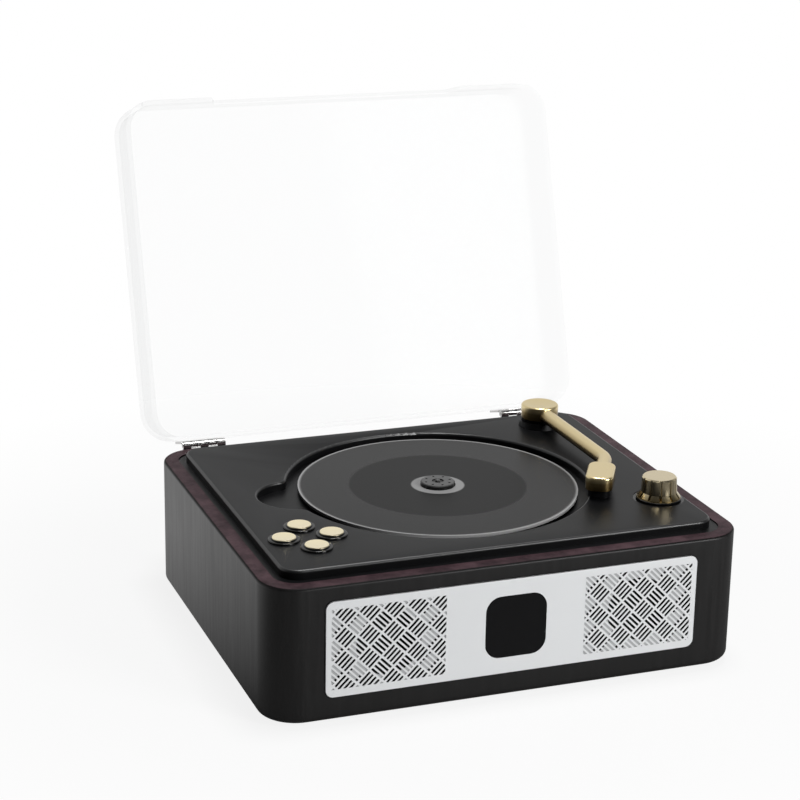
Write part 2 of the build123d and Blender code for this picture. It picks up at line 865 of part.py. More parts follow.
with BuildPart() as spindle_hub:
    with BuildSketch(Plane.XY.offset(hub_plate_bottom)):
        with Locations((well_x, well_y)):
            Circle(hub_plate_radius)
    extrude(amount=hub_plate_thickness)
    with BuildSketch(Plane.XY.offset(disc_bottom)):
        with Locations((well_x, well_y)):
            Circle(hub_radius)
    extrude(amount=hub_top - disc_bottom)
    chamfer(spindle_hub.faces().sort_by(Axis.Z)[-1].edges(), hub_chamfer)
    # A shallow dish with a round tip in its middle
    with BuildSketch(Plane.XY.offset(hub_top)):
        with Locations((well_x, well_y)):
            Circle(hub_dish_radius)
    extrude(amount=-hub_dish_depth, mode=Mode.SUBTRACT)
    with BuildSketch(Plane.XY.offset(hub_top - hub_dish_depth)):
        with Locations((well_x, well_y)):
            Circle(hub_tip_radius)
    extrude(amount=hub_dish_depth + hub_tip_height)
    fillet(spindle_hub.faces().sort_by(Axis.Z)[-1].edges(), hub_tip_height)
    # Shallow sockets round the top, and pockets for the balls
    with BuildSketch(Plane.XY.offset(hub_top)):
        with Locations((well_x, well_y)):
            with PolarLocations(hub_socket_ring, hub_sockets):
                Circle(hub_socket_radius)
    extrude(amount=-hub_socket_depth, mode=Mode.SUBTRACT)
    add(hub_balls.part, mode=Mode.SUBTRACT)
    with BuildSketch(Plane.XY.offset(hub_plate_bottom)):
        with Locations((well_x, well_y)):
            Circle(spindle_radius)
    extrude(amount=hub_plate_thickness + spindle_reach, mode=Mode.SUBTRACT)
finish(spindle_hub, "spindle_hub")


# Spindle motor on the chassis, and its shaft, which carries the hub
motor_top = well_underside - spindle_motor_gap
shaft_top = hub_plate_bottom + hub_plate_thickness + spindle_reach
shaft_seat = motor_top - spindle_seat
with BuildPart() as spindle_motor:
    with BuildSketch(Plane.XY.offset(chassis_top)):
        with Locations((well_x, well_y)):
            Circle(spindle_motor_radius)
    extrude(amount=motor_top - chassis_top)
    fillet(spindle_motor.faces().sort_by(Axis.Z)[-1].edges(), spindle_motor_edge)
    with BuildSketch(Plane.XY.offset(shaft_seat)):
        with Locations((well_x, well_y)):
            Circle(spindle_radius + running_fit)
    extrude(amount=motor_top - shaft_seat, mode=Mode.SUBTRACT)
finish(spindle_motor, "spindle_motor")

with BuildPart() as spindle_shaft:
    with BuildSketch(Plane.XY.offset(shaft_seat + seat_gap)):
        with Locations((well_x, well_y)):
            Circle(spindle_radius)
    extrude(amount=shaft_top - shaft_seat - seat_gap)
finish(spindle_shaft, "spindle_shaft")


# Pick-up chassis: a pressed plate with blocks that hold two guide rods
rod_z = chassis_top + rod_height
rod_front = well_y + read_start - sled_length / 2 - rod_block
rod_rear = well_y + read_end + sled_length / 2
sled_bottom = chassis_top + sled_gap
sled_y = well_y + read_start
rack_front = gear_centre_y - (well_y + read_end) - rack_spare
rack_rear = gear_centre_y - sled_y + rack_spare
with BuildPart() as pickup_chassis:
    with BuildSketch(Plane.XY.offset(chassis_top - chassis_thickness)):
        with Locations(
            ((chassis_left + chassis_right) / 2, (chassis_front + chassis_rear) / 2)
        ):
            RectangleRounded(
                chassis_right - chassis_left, chassis_rear - chassis_front, chassis_corner
            )
    extrude(amount=chassis_thickness)
    # Window under the sled
    with BuildSketch(Plane.XY.offset(chassis_top)):
        with Locations((well_x, (rod_front + rod_block + rod_rear) / 2)):
            Rectangle(rod_spacing - rod_block - window_lap, rod_rear - rod_front - rod_block - window_lap)
    extrude(amount=-chassis_thickness, mode=Mode.SUBTRACT)
    # Rod blocks
    block_places = [
        (well_x + sx * rod_spacing / 2, y + rod_block / 2)
        for sx in (-1, 1)
        for y in (rod_front - sled_gap, rod_rear + sled_gap)
    ]
    with BuildSketch(Plane.XY.offset(chassis_top)):
        with Locations(*block_places):
            Rectangle(rod_block, rod_block)
    extrude(amount=rod_height + rod_radius + rod_block_cover)
    with BuildSketch(front_plane(rod_front - sled_gap)):
        with Locations(
            (well_x - rod_spacing / 2, rod_z), (well_x + rod_spacing / 2, rod_z)
        ):
            Circle(rod_radius)
    extrude(amount=-(rod_rear + rod_block - rod_front + 2 * sled_gap), mode=Mode.SUBTRACT)
    # Holes for the dampers' screws, the gear's pin and the feed motor's shaft
    with BuildSketch(Plane.XY.offset(chassis_top)):
        with Locations(*chassis_sites):
            Circle(screw_radius + slide_gap)
        with Locations((gear_x, gear_centre_y)):
            Circle(gear_pin_radius)
        with Locations((pinion_x, gear_centre_y)):
            Circle(gear_pin_radius + seat_gap)
    extrude(amount=-chassis_thickness, mode=Mode.SUBTRACT)
finish(pickup_chassis, "pickup_chassis")

with BuildPart() as guide_rods:
    with BuildSketch(front_plane(rod_front - sled_gap)):
        with Locations(
            (well_x - rod_spacing / 2, rod_z), (well_x + rod_spacing / 2, rod_z)
        ):
            Circle(rod_radius)
    extrude(amount=-(rod_rear + rod_block - rod_front + 2 * sled_gap))
finish(guide_rods, "guide_rods")

with BuildPart() as chassis_dampers:
    with BuildSketch(Plane.XY.offset(chassis_top)):
        with Locations(*chassis_sites):
            Circle(damper_radius)
            Circle(screw_radius + slide_gap, mode=Mode.SUBTRACT)
    extrude(amount=damper_height)
finish(chassis_dampers, "chassis_dampers")

with BuildPart() as deck_screws:
    for sites, board_face, length in (
        (chassis_sites, chassis_top - chassis_thickness, chassis_screw_length),
        (button_board_sites, button_board_top - board_thickness, board_screw_length),
    ):
        with BuildSketch(Plane.XY.offset(board_face)):
            with Locations(*sites):
                Circle(screw_head_radius)
        extrude(amount=-screw_head_height)
        with BuildSketch(Plane.XY.offset(board_face)):
            with Locations(*sites):
                Circle(screw_radius)
        extrude(amount=length - seat_gap)
finish(deck_screws, "deck_screws")


# Toothed pieces: stub involute teeth, thinned by the backlash
def tooth_half_angle(radius, teeth):
    """Half the angle that a tooth covers at this radius, on an involute flank."""
    pitch_radius = gear_module * teeth / 2
    base_radius = pitch_radius * cos(pressure_angle)
    at_pitch = (pi / 2 * gear_module - tooth_backlash) / 2 / pitch_radius
    roll_pitch = tan(pressure_angle) - pressure_angle
    turn = acos(min(1.0, base_radius / max(radius, base_radius)))
    return at_pitch + roll_pitch - (tan(turn) - turn)


def gear_outline(x, y, teeth, first_angle):
    """Corners of a gear's outline, with a tooth in the direction first_angle."""
    pitch_radius = gear_module * teeth / 2
    radii = [pitch_radius + step * addendum for step in (0, 0.5, 1)]
    root = pitch_radius - dedendum
    low = max(root, pitch_radius * cos(pressure_angle))
    flank = [root] + ([low] if low > root else []) + radii
    points = []
    for number in range(teeth):
        middle = radians(first_angle) + 2 * pi * number / teeth
        rising = [(r, middle - tooth_half_angle(r, teeth)) for r in flank]
        falling = [(r, middle + tooth_half_angle(r, teeth)) for r in reversed(flank)]
        points += [(x + r * cos(a), y + r * sin(a)) for r, a in rising + falling]
    return points


# Sled: slides on the rods, carries the lens and the rack
rack_pitch = pi * gear_module
sled_right = well_x + sled_half_width
rack_line = well_x + rack_pitch_x
rack_low = sled_y + rack_front
rack_high = sled_y + rack_rear


def rack_teeth_outline():
    """The rack's outline: teeth point to +X and one space faces the small gear."""
    half_tip = (rack_pitch / 2 - tooth_backlash) / 2 - addendum * tan(pressure_angle)
    half_root = (rack_pitch / 2 - tooth_backlash) / 2 + dedendum * tan(pressure_angle)
    first = ceil((rack_low + half_root - gear_centre_y) / rack_pitch - 0.5)
    last = int((rack_high - half_root - gear_centre_y) / rack_pitch - 0.5)
    points = [(sled_right - 1, rack_low), (rack_line - dedendum, rack_low)]
    for number in range(first, last + 1):
        y = gear_centre_y + (number + 0.5) * rack_pitch
        points += [
            (rack_line - dedendum, y - half_root),
            (rack_line + addendum, y - half_tip),
            (rack_line + addendum, y + half_tip),
            (rack_line - dedendum, y + half_root),
        ]
    return points + [(rack_line - dedendum, rack_high), (sled_right - 1, rack_high)]


with BuildPart() as pickup_sled:
    with BuildSketch(Plane.XY.offset(sled_bottom)):
        with Locations((well_x, sled_y)):
            RectangleRounded(2 * sled_half_width, sled_length, sled_corner)
    extrude(amount=sled_height)
    with BuildSketch(Plane.XY.offset(sled_bottom)):
        with BuildLine():
            Polyline(*rack_teeth_outline(), close=True)
        make_face()
    extrude(amount=rack_thickness)
    with BuildSketch(front_plane(sled_y - sled_length / 2)):
        with Locations(
            (well_x - rod_spacing / 2, rod_z), (well_x + rod_spacing / 2, rod_z)
        ):
            Circle(rod_radius + running_fit)
    extrude(amount=-sled_length, mode=Mode.SUBTRACT)
finish(pickup_sled, "pickup_sled")

sled_top = sled_bottom + sled_height
with BuildPart() as objective_lens:
    with BuildSketch(Plane.XY.offset(sled_top)):
        with Locations((well_x, sled_y)):
            Circle(lens_holder_radius)
    extrude(amount=lens_holder_height)
    with BuildSketch(Plane.XY.offset(sled_top + lens_holder_height)):
        with Locations((well_x, sled_y)):
            Circle(lens_radius)
    extrude(amount=lens_height)
    fillet(objective_lens.faces().sort_by(Axis.Z)[-1].edges(), lens_edge)
finish(objective_lens, "objective_lens")


# Feed gear: a small gear in mesh with the rack, a large one above it with the pinion
small_gear_top = sled_bottom + rack_thickness + gear_side_gap
large_gear_top = small_gear_top + gear_thickness
gear_bottom = chassis_top + sled_gap / 2
pin_bottom = chassis_top - chassis_thickness
with BuildPart() as feed_gear:
    with BuildSketch(Plane.XY.offset(gear_bottom)):
        with BuildLine():
            Polyline(*gear_outline(gear_x, gear_centre_y, small_teeth, 180), close=True)
        make_face()
        with Locations((gear_x, gear_centre_y)):
            Circle(gear_pin_radius + running_fit, mode=Mode.SUBTRACT)
    extrude(amount=small_gear_top - gear_bottom)
    with BuildSketch(Plane.XY.offset(small_gear_top)):
        with BuildLine():
            Polyline(*gear_outline(gear_x, gear_centre_y, large_teeth, 0), close=True)
        make_face()
        with Locations((gear_x, gear_centre_y)):
            Circle(gear_pin_radius + running_fit, mode=Mode.SUBTRACT)
    extrude(amount=gear_thickness)
finish(feed_gear, "feed_gear")

with BuildPart() as gear_pin:
    with BuildSketch(Plane.XY.offset(pin_bottom)):
        with Locations((gear_x, gear_centre_y)):
            Circle(gear_pin_radius)
    extrude(amount=large_gear_top + gear_pin_radius - pin_bottom)
finish(gear_pin, "gear_pin")

# The pinion has a space towards the large gear's tooth
with BuildPart() as feed_pinion:
    with BuildSketch(Plane.XY.offset(small_gear_top - pinion_overlap)):
        with BuildLine():
            facing = 180 + 180 / pinion_teeth
            Polyline(*gear_outline(pinion_x, gear_centre_y, pinion_teeth, facing), close=True)
        make_face()
    extrude(amount=gear_thickness + 2 * pinion_overlap)
    with BuildSketch(Plane.XY.offset(pin_bottom - feed_shaft_seat + seat_gap)):
        with Locations((pinion_x, gear_centre_y)):
            Circle(gear_pin_radius)
    extrude(amount=small_gear_top - pin_bottom + feed_shaft_seat - seat_gap)
finish(feed_pinion, "feed_pinion")

with BuildPart() as feed_motor:
    with BuildSketch(Plane.XY.offset(pin_bottom)):
        with Locations((pinion_x, gear_centre_y)):
            Circle(feed_motor_radius)
    extrude(amount=-feed_motor_length)
    fillet(feed_motor.faces().sort_by(Axis.Z)[0].edges(), feed_motor_edge)
    with BuildSketch(Plane.XY.offset(pin_bottom)):
        with Locations((pinion_x, gear_centre_y)):
            Circle(gear_pin_radius + running_fit)
    extrude(amount=-feed_shaft_seat, mode=Mode.SUBTRACT)
finish(feed_motor, "feed_motor")


# Buttons: black bodies with metal caps, in black bezels, over four small switches
bezel_bottom = deck_ceiling - bezel_reach
button_top = deck_top + button_stand
switch_top = button_board_top + switch_height
stem_bottom = switch_top + plunger_height + button_travel + seat_gap
button_collar_top = bezel_bottom - slide_gap
with BuildPart() as button_bezels:
    with BuildSketch(Plane.XY.offset(bezel_bottom)):
        with Locations(*button_sites):
            Circle(bezel_body_radius)
    extrude(amount=deck_top - bezel_bottom)
    with BuildSketch(Plane.XY.offset(deck_top)):
        with Locations(*button_sites):
            Circle(bezel_radius)
    extrude(amount=bezel_stand)
    fillet(button_bezels.faces().group_by(Axis.Z)[-1].edges(), bezel_edge_radius)
    with BuildSketch(Plane.XY.offset(bezel_bottom)):
        with Locations(*button_sites):
            Circle(button_radius + slide_gap)
    extrude(amount=deck_top + bezel_stand - bezel_bottom, mode=Mode.SUBTRACT)
finish(button_bezels, "button_bezels")

cap_bottom = button_top - cap_thickness
body_top = button_top - cap_stand
button_names = ["play_button", "back_button", "next_button", "stop_button"]
for name, (x, y) in zip(button_names, button_sites):
    # Black body with a stem over its switch, and a collar that stops it under the bezel
    with BuildPart() as button_body:
        with BuildSketch(Plane.XZ.offset(-y)):
            with BuildLine():
                Polyline(
                    (x, stem_bottom),
                    (x + button_stem_radius, stem_bottom),
                    (x + button_stem_radius, button_collar_top - button_collar_thickness),
                    (x + button_radius + button_collar, button_collar_top - button_collar_thickness),
                    (x + button_radius + button_collar, button_collar_top),
                    (x + button_radius, button_collar_top),
                    (x + button_radius, body_top - button_edge),
                    (x + button_radius - button_edge, body_top),
                    (x + cap_radius + running_fit, body_top),
                    (x + cap_radius + running_fit, cap_bottom),
                    (x + cap_pin_radius + running_fit, cap_bottom),
                    (x + cap_pin_radius + running_fit, cap_bottom - cap_pin_length),
                    (x, cap_bottom - cap_pin_length),
                    close=True,
                )
            make_face()
        revolve(axis=Axis((x, y, 0), (0, 0, 1)))
    finish(button_body, name)

    # Dished metal cap, let into the body with a short pin
    with BuildPart() as button_cap:
        with BuildSketch(Plane.XZ.offset(-y)):
            with BuildLine():
                Polyline(
                    (x, cap_bottom - cap_pin_length),
                    (x + cap_pin_radius, cap_bottom - cap_pin_length),
                    (x + cap_pin_radius, cap_bottom),
                    (x + cap_radius, cap_bottom),
                    (x + cap_radius, button_top - cap_edge),
                    (x + cap_radius - cap_edge, button_top),
                    (x, button_top),
                    close=True,
                )
            make_face()
        revolve(axis=Axis((x, y, 0), (0, 0, 1)))
        ball = dish_ball(cap_radius - 2 * cap_edge, cap_dish)
        with Locations((x, y, button_top - cap_dish + ball)):
            Sphere(ball, mode=Mode.SUBTRACT)
    finish(button_cap, name + "_cap")

with BuildPart() as button_board:
    with BuildSketch(Plane.XY.offset(button_board_top)):
        with Locations((button_x, button_y)):
            Rectangle(button_board_width, button_board_length)
        with Locations(*button_board_sites):
            Circle(screw_radius, mode=Mode.SUBTRACT)
    extrude(amount=-board_thickness)
finish(button_board, "button_board")

with BuildPart() as button_switches:
    with BuildSketch(Plane.XY.offset(button_board_top)):
        with Locations(*button_sites):
            Rectangle(switch_side, switch_side)
    extrude(amount=switch_height)
    with BuildSketch(Plane.XY.offset(switch_top)):
        with Locations(*button_sites):
            Circle(plunger_radius)
    extrude(amount=plunger_height)
finish(button_switches, "button_switches")


# Volume knob: a grooved metal knob with a flared skirt, on the potentiometer's shaft
collar_top = deck_top - collar_drop
knob_bottom = collar_top + seat_gap
knob_top = knob_bottom + knob_height
pot_top = deck_ceiling
nut_bottom = collar_top
with BuildPart() as knob_collar:
    with BuildSketch(Plane.XY.offset(collar_top - collar_thickness)):
        with Locations((knob_x, knob_y)):
            Circle(collar_radius)
            Circle(pot_bush_radius + slide_gap, mode=Mode.SUBTRACT)
    extrude(amount=collar_thickness)
finish(knob_collar, "knob_collar")

with BuildPart() as volume_knob:
    with BuildSketch(Plane.XZ.offset(-knob_y)):
        with BuildLine():
            Polyline(
                (knob_x, knob_bottom),
                (knob_x + knob_foot_radius - knob_edge, knob_bottom),
                (knob_x + knob_foot_radius, knob_bottom + knob_edge),
                (knob_x + knob_foot_radius, knob_bottom + knob_foot_height - knob_edge),
                (knob_x + knob_foot_radius - knob_edge, knob_bottom + knob_foot_height),
                (knob_x + knob_skirt_radius, knob_bottom + knob_foot_height),
                (knob_x + knob_skirt_radius, knob_bottom + knob_foot_height + knob_edge),
                (knob_x + knob_radius, knob_bottom + knob_skirt_height),
                (knob_x + knob_top_radius, knob_top - knob_bevel),
                (knob_x + knob_top_radius - knob_bevel, knob_top),
                (knob_x, knob_top),
                close=True,
            )
        make_face()
    revolve(axis=Axis((knob_x, knob_y, 0), (0, 0, 1)))
    # Narrow grooves part the side and the flared skirt into petals
    with BuildSketch(Plane.XY.offset(knob_bottom + knob_foot_height)):
        with Locations((knob_x, knob_y)):
            with PolarLocations(
                knob_groove_radius + knob_groove_reach / 2, knob_grooves, knob_groove_turn
            ):
                RectangleRounded(knob_groove_reach, knob_groove_width, knob_groove_corner)
    extrude(amount=knob_height, mode=Mode.SUBTRACT)
    # Hollow over the nut, and the socket of the shaft
    with BuildSketch(Plane.XY.offset(knob_bottom)):
        with Locations((knob_x, knob_y)):
            Circle(knob_hollow_radius)
    extrude(amount=knob_hollow_height, mode=Mode.SUBTRACT)
    with BuildSketch(Plane.XY.offset(knob_bottom)):
        with Locations((knob_x, knob_y)):
            Circle(pot_shaft_radius)
    extrude(amount=knob_hollow_height + knob_socket_depth, mode=Mode.SUBTRACT)
finish(volume_knob, "volume_knob")

shaft_end = knob_bottom + knob_hollow_height + knob_socket_depth
pot_shaft_seat = pot_top - pot_length / 2
with BuildPart() as potentiometer:
    with BuildSketch(Plane.XY.offset(pot_top)):
        with Locations((knob_x, knob_y)):
            Circle(pot_radius)
    extrude(amount=-pot_length)
    with BuildSketch(Plane.XY.offset(pot_top)):
        with Locations((knob_x, knob_y)):
            Circle(pot_bush_radius)
    extrude(amount=nut_bottom + pot_nut_thickness - pot_top)
    with BuildSketch(Plane.XY.offset(pot_shaft_seat)):
        with Locations((knob_x, knob_y)):
            Circle(pot_shaft_radius + running_fit)
    extrude(amount=knob_height + pot_length, mode=Mode.SUBTRACT)
finish(potentiometer, "potentiometer")

with BuildPart() as potentiometer_shaft:
    with BuildSketch(Plane.XY.offset(pot_shaft_seat + seat_gap)):
        with Locations((knob_x, knob_y)):
            Circle(pot_shaft_radius)
    extrude(amount=shaft_end - pot_shaft_seat - seat_gap)
finish(potentiometer_shaft, "potentiometer_shaft")

with BuildPart() as potentiometer_nut:
    with BuildSketch(Plane.XY.offset(nut_bottom)):
        with Locations((knob_x, knob_y)):
            RegularPolygon(pot_nut_size / 2, 6)
            Circle(pot_bush_radius, mode=Mode.SUBTRACT)
    extrude(amount=pot_nut_thickness)
finish(potentiometer_nut, "potentiometer_nut")


# Tone arm: a post that turns in a bush, a bent tube and a head with a soft foot
arm_collar_top = deck_top + arm_collar_height
post_bottom = arm_collar_top + seat_gap
post_top = deck_top + arm_post_top
tube_z = deck_top + arm_tube_height
head_top_z = deck_top + head_top
head_bottom = head_top_z - head_thickness
lean = radians(arm_bend)
head_back_x = head_x + head_length / 2 * sin(lean)
head_back_y = head_y + head_length / 2 * cos(lean)
bend_side = arm_bend_radius * (1 - cos(lean))
straight_end = (arm_x - head_back_x - bend_side) / sin(lean)
bend_start_y = head_back_y + arm_bend_radius * sin(lean) + straight_end * cos(lean)
head_angle = -arm_bend

with BuildPart() as arm_bush:
    with BuildSketch(Plane.XY.offset(bush_bottom)):
        with Locations((arm_x, arm_y)):
            Circle(bush_radius)
            Circle(pivot_radius + running_fit, mode=Mode.SUBTRACT)
    extrude(amount=bush_length)
finish(arm_bush, "arm_bush")

with BuildPart() as arm_collar:
    with BuildSketch(Plane.XZ.offset(-arm_y)):
        with BuildLine():
            Polyline(
                (arm_x + pivot_radius + running_fit, deck_top),
                (arm_x + arm_collar_radius, deck_top),
                (arm_x + arm_collar_top_radius, deck_top + arm_collar_flange),
                (arm_x + arm_collar_neck, deck_top + arm_collar_flange),
                (arm_x + arm_collar_neck, arm_collar_top),
                (arm_x + pivot_radius + running_fit, arm_collar_top),
                close=True,
            )
        make_face()
    revolve(axis=Axis((arm_x, arm_y, 0), (0, 0, 1)))
finish(arm_collar, "arm_collar")

with BuildPart() as arm_post:
    with BuildSketch(Plane.XY.offset(post_bottom)):
        with Locations((arm_x, arm_y)):
            Circle(arm_post_radius)
    extrude(amount=post_top - post_bottom)
    fillet(arm_post.faces().sort_by(Axis.Z)[-1].edges(), arm_post_edge)
    ball = dish_ball(arm_post_radius - arm_post_edge, arm_post_dish)
    with Locations((arm_x, arm_y, post_top - arm_post_dish + ball)):
        Sphere(ball, mode=Mode.SUBTRACT)
    with BuildSketch(Plane.XY.offset(post_bottom)):
        with Locations((arm_x, arm_y)):
            Circle(pivot_radius)
    extrude(amount=pivot_reach, mode=Mode.SUBTRACT)
finish(arm_post, "arm_post")

clip_z = bush_bottom - seat_gap - clip_thickness
with BuildPart() as arm_pivot:
    with BuildSketch(Plane.XY.offset(clip_z - clip_thickness)):
        with Locations((arm_x, arm_y)):
            Circle(pivot_radius)
    extrude(amount=post_bottom + pivot_reach - clip_z + clip_thickness)
finish(arm_pivot, "arm_pivot")

with BuildPart() as arm_clip:
    with BuildSketch(Plane.XY.offset(clip_z)):
        with Locations((arm_x, arm_y)):
            Circle(clip_radius)
            Circle(pivot_radius, mode=Mode.SUBTRACT)
    extrude(amount=clip_thickness)
finish(arm_clip, "arm_clip")

with BuildPart() as arm_tube:
    with BuildLine() as arm_path:
        run = Line((arm_x, arm_y, tube_z), (arm_x, bend_start_y, tube_z))
        bend = JernArc((arm_x, bend_start_y, tube_z), (0, -1, 0), arm_bend_radius, -arm_bend)
        Line(bend @ 1, (head_back_x, head_back_y, tube_z))
    with BuildSketch(Plane((arm_x, arm_y, tube_z), x_dir=(1, 0, 0), z_dir=(0, -1, 0))):
        Circle(arm_tube_radius)
    sweep(path=arm_path.line)
    # The end is cut to the round of the post
    with BuildSketch(Plane.XY.offset(deck_top)):
        with Locations((arm_x, arm_y)):
            Circle(arm_post_radius)
    extrude(amount=post_top - deck_top, mode=Mode.SUBTRACT)
finish(arm_tube, "arm_tube")

with BuildPart() as arm_head:
    with BuildSketch(Plane.XY.offset(head_bottom)):
        with Locations(Location((head_x, head_y), head_angle)):
            RectangleRounded(head_width, head_length, head_corner)
    extrude(amount=head_thickness)
    fillet(arm_head.faces().sort_by(Axis.Z)[-1].edges(), head_edge)
finish(arm_head, "arm_head")

with BuildPart() as arm_foot:
    with BuildSketch(Plane.XY.offset(deck_top + arm_foot_gap)):
        with Locations(Location((head_x, head_y), head_angle)):
            RectangleRounded(arm_foot_width, arm_foot_length, arm_foot_corner)
    extrude(amount=head_bottom - deck_top - arm_foot_gap)
finish(arm_foot, "arm_foot")


# Lid: a shallow clear box, modelled open. Its own frame has +X across, -Y towards
# the free edge and +Z out of the top, with its origin on the hinge line.
hinge_y = half_depth + knuckle_radius + slide_gap
hinge_z = rim_top + hinge_rise
open_angle = radians(lid_open_angle)
lid_out = (0, sin(open_angle), cos(open_angle))
lid_frame = Plane(origin=(0, hinge_y, hinge_z), x_dir=(1, 0, 0), z_dir=lid_out)
lid_rim = rim_top + lid_rest_gap - hinge_z
lid_back = half_depth - hinge_y
lid_middle = lid_back - (lid_length + lid_back) / 2
lid_span = lid_length + lid_back
leaf_gap = knuckle_radius + slide_gap

with BuildPart() as lid_shell:
    with BuildSketch(lid_frame.offset(lid_rim)):
        with Locations((0, lid_middle)):
            RectangleRounded(lid_width, lid_span, lid_corner)
    extrude(amount=lid_depth)
    fillet(lid_shell.faces().sort_by(Axis(lid_frame.origin, lid_out))[-1].edges(), lid_edge_radius)
    with BuildSketch(lid_frame.offset(lid_rim)):
        with Locations((0, lid_middle)):
            RectangleRounded(
                lid_width - 2 * lid_wall, lid_span - 2 * lid_wall, lid_corner - lid_wall
            )
    extrude(amount=lid_depth - lid_wall, mode=Mode.SUBTRACT)
    # The front wall ends higher than the sides, so that it clears the raised deck
    skirt_length = lid_corner + 2 * lid_wall
    with BuildSketch(lid_frame.offset(lid_rim)):
        with Locations((0, -lid_length - lid_wall + skirt_length / 2)):
            Rectangle(deck_width + 2 * lid_skirt_gap, skirt_length)
    extrude(amount=deck_rise, mode=Mode.SUBTRACT)
    # Long finger notch in the free edge's wall, with sloping ends
    free_edge = Plane(
        origin=lid_frame.from_local_coords((0, -lid_length, lid_rim)),
        x_dir=(1, 0, 0),
        z_dir=lid_frame.y_dir,
    )
    with BuildSketch(free_edge):
        with BuildLine():
            Polyline(
                (-lid_notch_width / 2, 0),
                (lid_notch_width / 2, 0),
                (lid_notch_width / 2 - lid_notch_slope, -lid_notch_depth),
                (-lid_notch_width / 2 + lid_notch_slope, -lid_notch_depth),
                close=True,
            )
        make_face()
    extrude(amount=lid_wall, mode=Mode.SUBTRACT)
finish(lid_shell, "lid_shell")


# Hinges: two leaves each, whose knuckles take turns along a pin
knuckle_length = hinge_length / knuckles


hinge_places = {
    "left": hinge_inset_left - half_width,
    "right": half_width - hinge_inset_right,
}


def leaf_screws(middle):
    """Where a leaf's two screws are, across it."""
    return [middle - hinge_screw_spacing / 2, middle + hinge_screw_spacing / 2]


for side_name, hinge_x in hinge_places.items():
    first_x = hinge_x - hinge_length / 2
    body_knuckles = [first_x + number * knuckle_length for number in range(0, knuckles, 2)]
    lid_knuckles = [first_x + number * knuckle_length for number in range(1, knuckles, 2)]

    # The cabinet's leaf lies on the back, below the pin
    with BuildPart() as body_leaf:
        with BuildSketch(front_plane(half_depth)):
            with Locations((hinge_x, hinge_z - leaf_gap - hinge_leaf_reach / 2)):
                Rectangle(hinge_length, hinge_leaf_reach)
        extrude(amount=-hinge_leaf_thickness)
        for x in body_knuckles:
            with BuildSketch(Plane.YZ.offset(x + hinge_knuckle_gap)):
                with Locations((hinge_y, hinge_z)):
                    Circle(knuckle_radius)
                with Locations(
                    (half_depth + hinge_leaf_thickness / 2, hinge_z - leaf_gap / 2 - leaf_start)
                ):
                    Rectangle(hinge_leaf_thickness, leaf_gap + 2 * leaf_start)
                with Locations((hinge_y, hinge_z)):
                    Circle(hinge_pin_radius, mode=Mode.SUBTRACT)
            extrude(amount=knuckle_length - 2 * hinge_knuckle_gap)
    finish(body_leaf, "hinge_body_leaf_" + side_name)

    # The lid's leaf lies on the outside of the lid's rear wall
    with BuildPart() as lid_leaf:
        leaf_plane = Plane(
            origin=lid_frame.from_local_coords((0, lid_back, 0)),
            x_dir=(1, 0, 0),
            z_dir=lid_frame.y_dir,
        )
        with BuildSketch(leaf_plane):
            with Locations((hinge_x, -leaf_gap - hinge_leaf_reach / 2)):
                Rectangle(hinge_length, hinge_leaf_reach)
        extrude(amount=hinge_leaf_thickness)
        for x in lid_knuckles:
            across = Plane(
                origin=(x + hinge_knuckle_gap, hinge_y, hinge_z),
                x_dir=lid_frame.y_dir,
                z_dir=(1, 0, 0),
            )
            with BuildSketch(across):
                Circle(knuckle_radius)
                with Locations(
                    (lid_back + hinge_leaf_thickness / 2, leaf_gap / 2 + leaf_start)
                ):
                    Rectangle(hinge_leaf_thickness, leaf_gap + 2 * leaf_start)
                Circle(hinge_pin_radius + running_fit, mode=Mode.SUBTRACT)
            extrude(amount=knuckle_length - 2 * hinge_knuckle_gap)
    finish(lid_leaf, "hinge_lid_leaf_" + side_name)

with BuildPart() as hinge_pins:
    for hinge_x in hinge_places.values():
        with BuildSketch(Plane.YZ.offset(hinge_x - hinge_length / 2)):
            with Locations((hinge_y, hinge_z)):
                Circle(hinge_pin_radius)
        extrude(amount=hinge_length)
finish(hinge_pins, "hinge_pins")

with BuildPart() as hinge_screws:
    screw_z = hinge_z - leaf_gap - hinge_leaf_reach / 2
    with BuildSketch(front_plane(half_depth + hinge_leaf_thickness)):
        with Locations(*[(x, screw_z) for m in hinge_places.values() for x in leaf_screws(m)]):
            Circle(hinge_screw_head)
    extrude(amount=-hinge_screw_stand)
    fillet(hinge_screws.faces().group_by(Axis.Y)[-1].edges(), hinge_screw_edge)
finish(hinge_screws, "hinge_screws")


# Main board on its four stands, and the rear panel with its two sockets. Its blocks
# are the decoder, the amplifier, a ribbon connector and a coil: x, y and three sizes.
board_blocks = [(-26, 12, 14, 14, 1.8), (10, 22, 10, 10, 1.6), (-8, 34, 24, 5, 6), (34, 8, 16, 8, 9)]
board_capacitors = [(-38, 32), (-38, 20), (18, 4)]
board_bottom = base_top + main_board_stand
with BuildPart() as main_board:
    with BuildSketch(Plane.XY.offset(board_bottom)):
        with Locations((0, main_board_y)):
            Rectangle(main_board_width, main_board_depth)
    extrude(amount=board_thickness)
    board_top = board_bottom + board_thickness
    for x, y, length, width, height in board_blocks:
        with BuildSketch(Plane.XY.offset(board_top)):
            with Locations((x, y)):
                Rectangle(length, width)
        extrude(amount=height)
    with BuildSketch(Plane.XY.offset(board_top)):
        with Locations(*board_capacitors):
            Circle(capacitor_radius)
    extrude(amount=capacitor_height)
finish(main_board, "main_board")

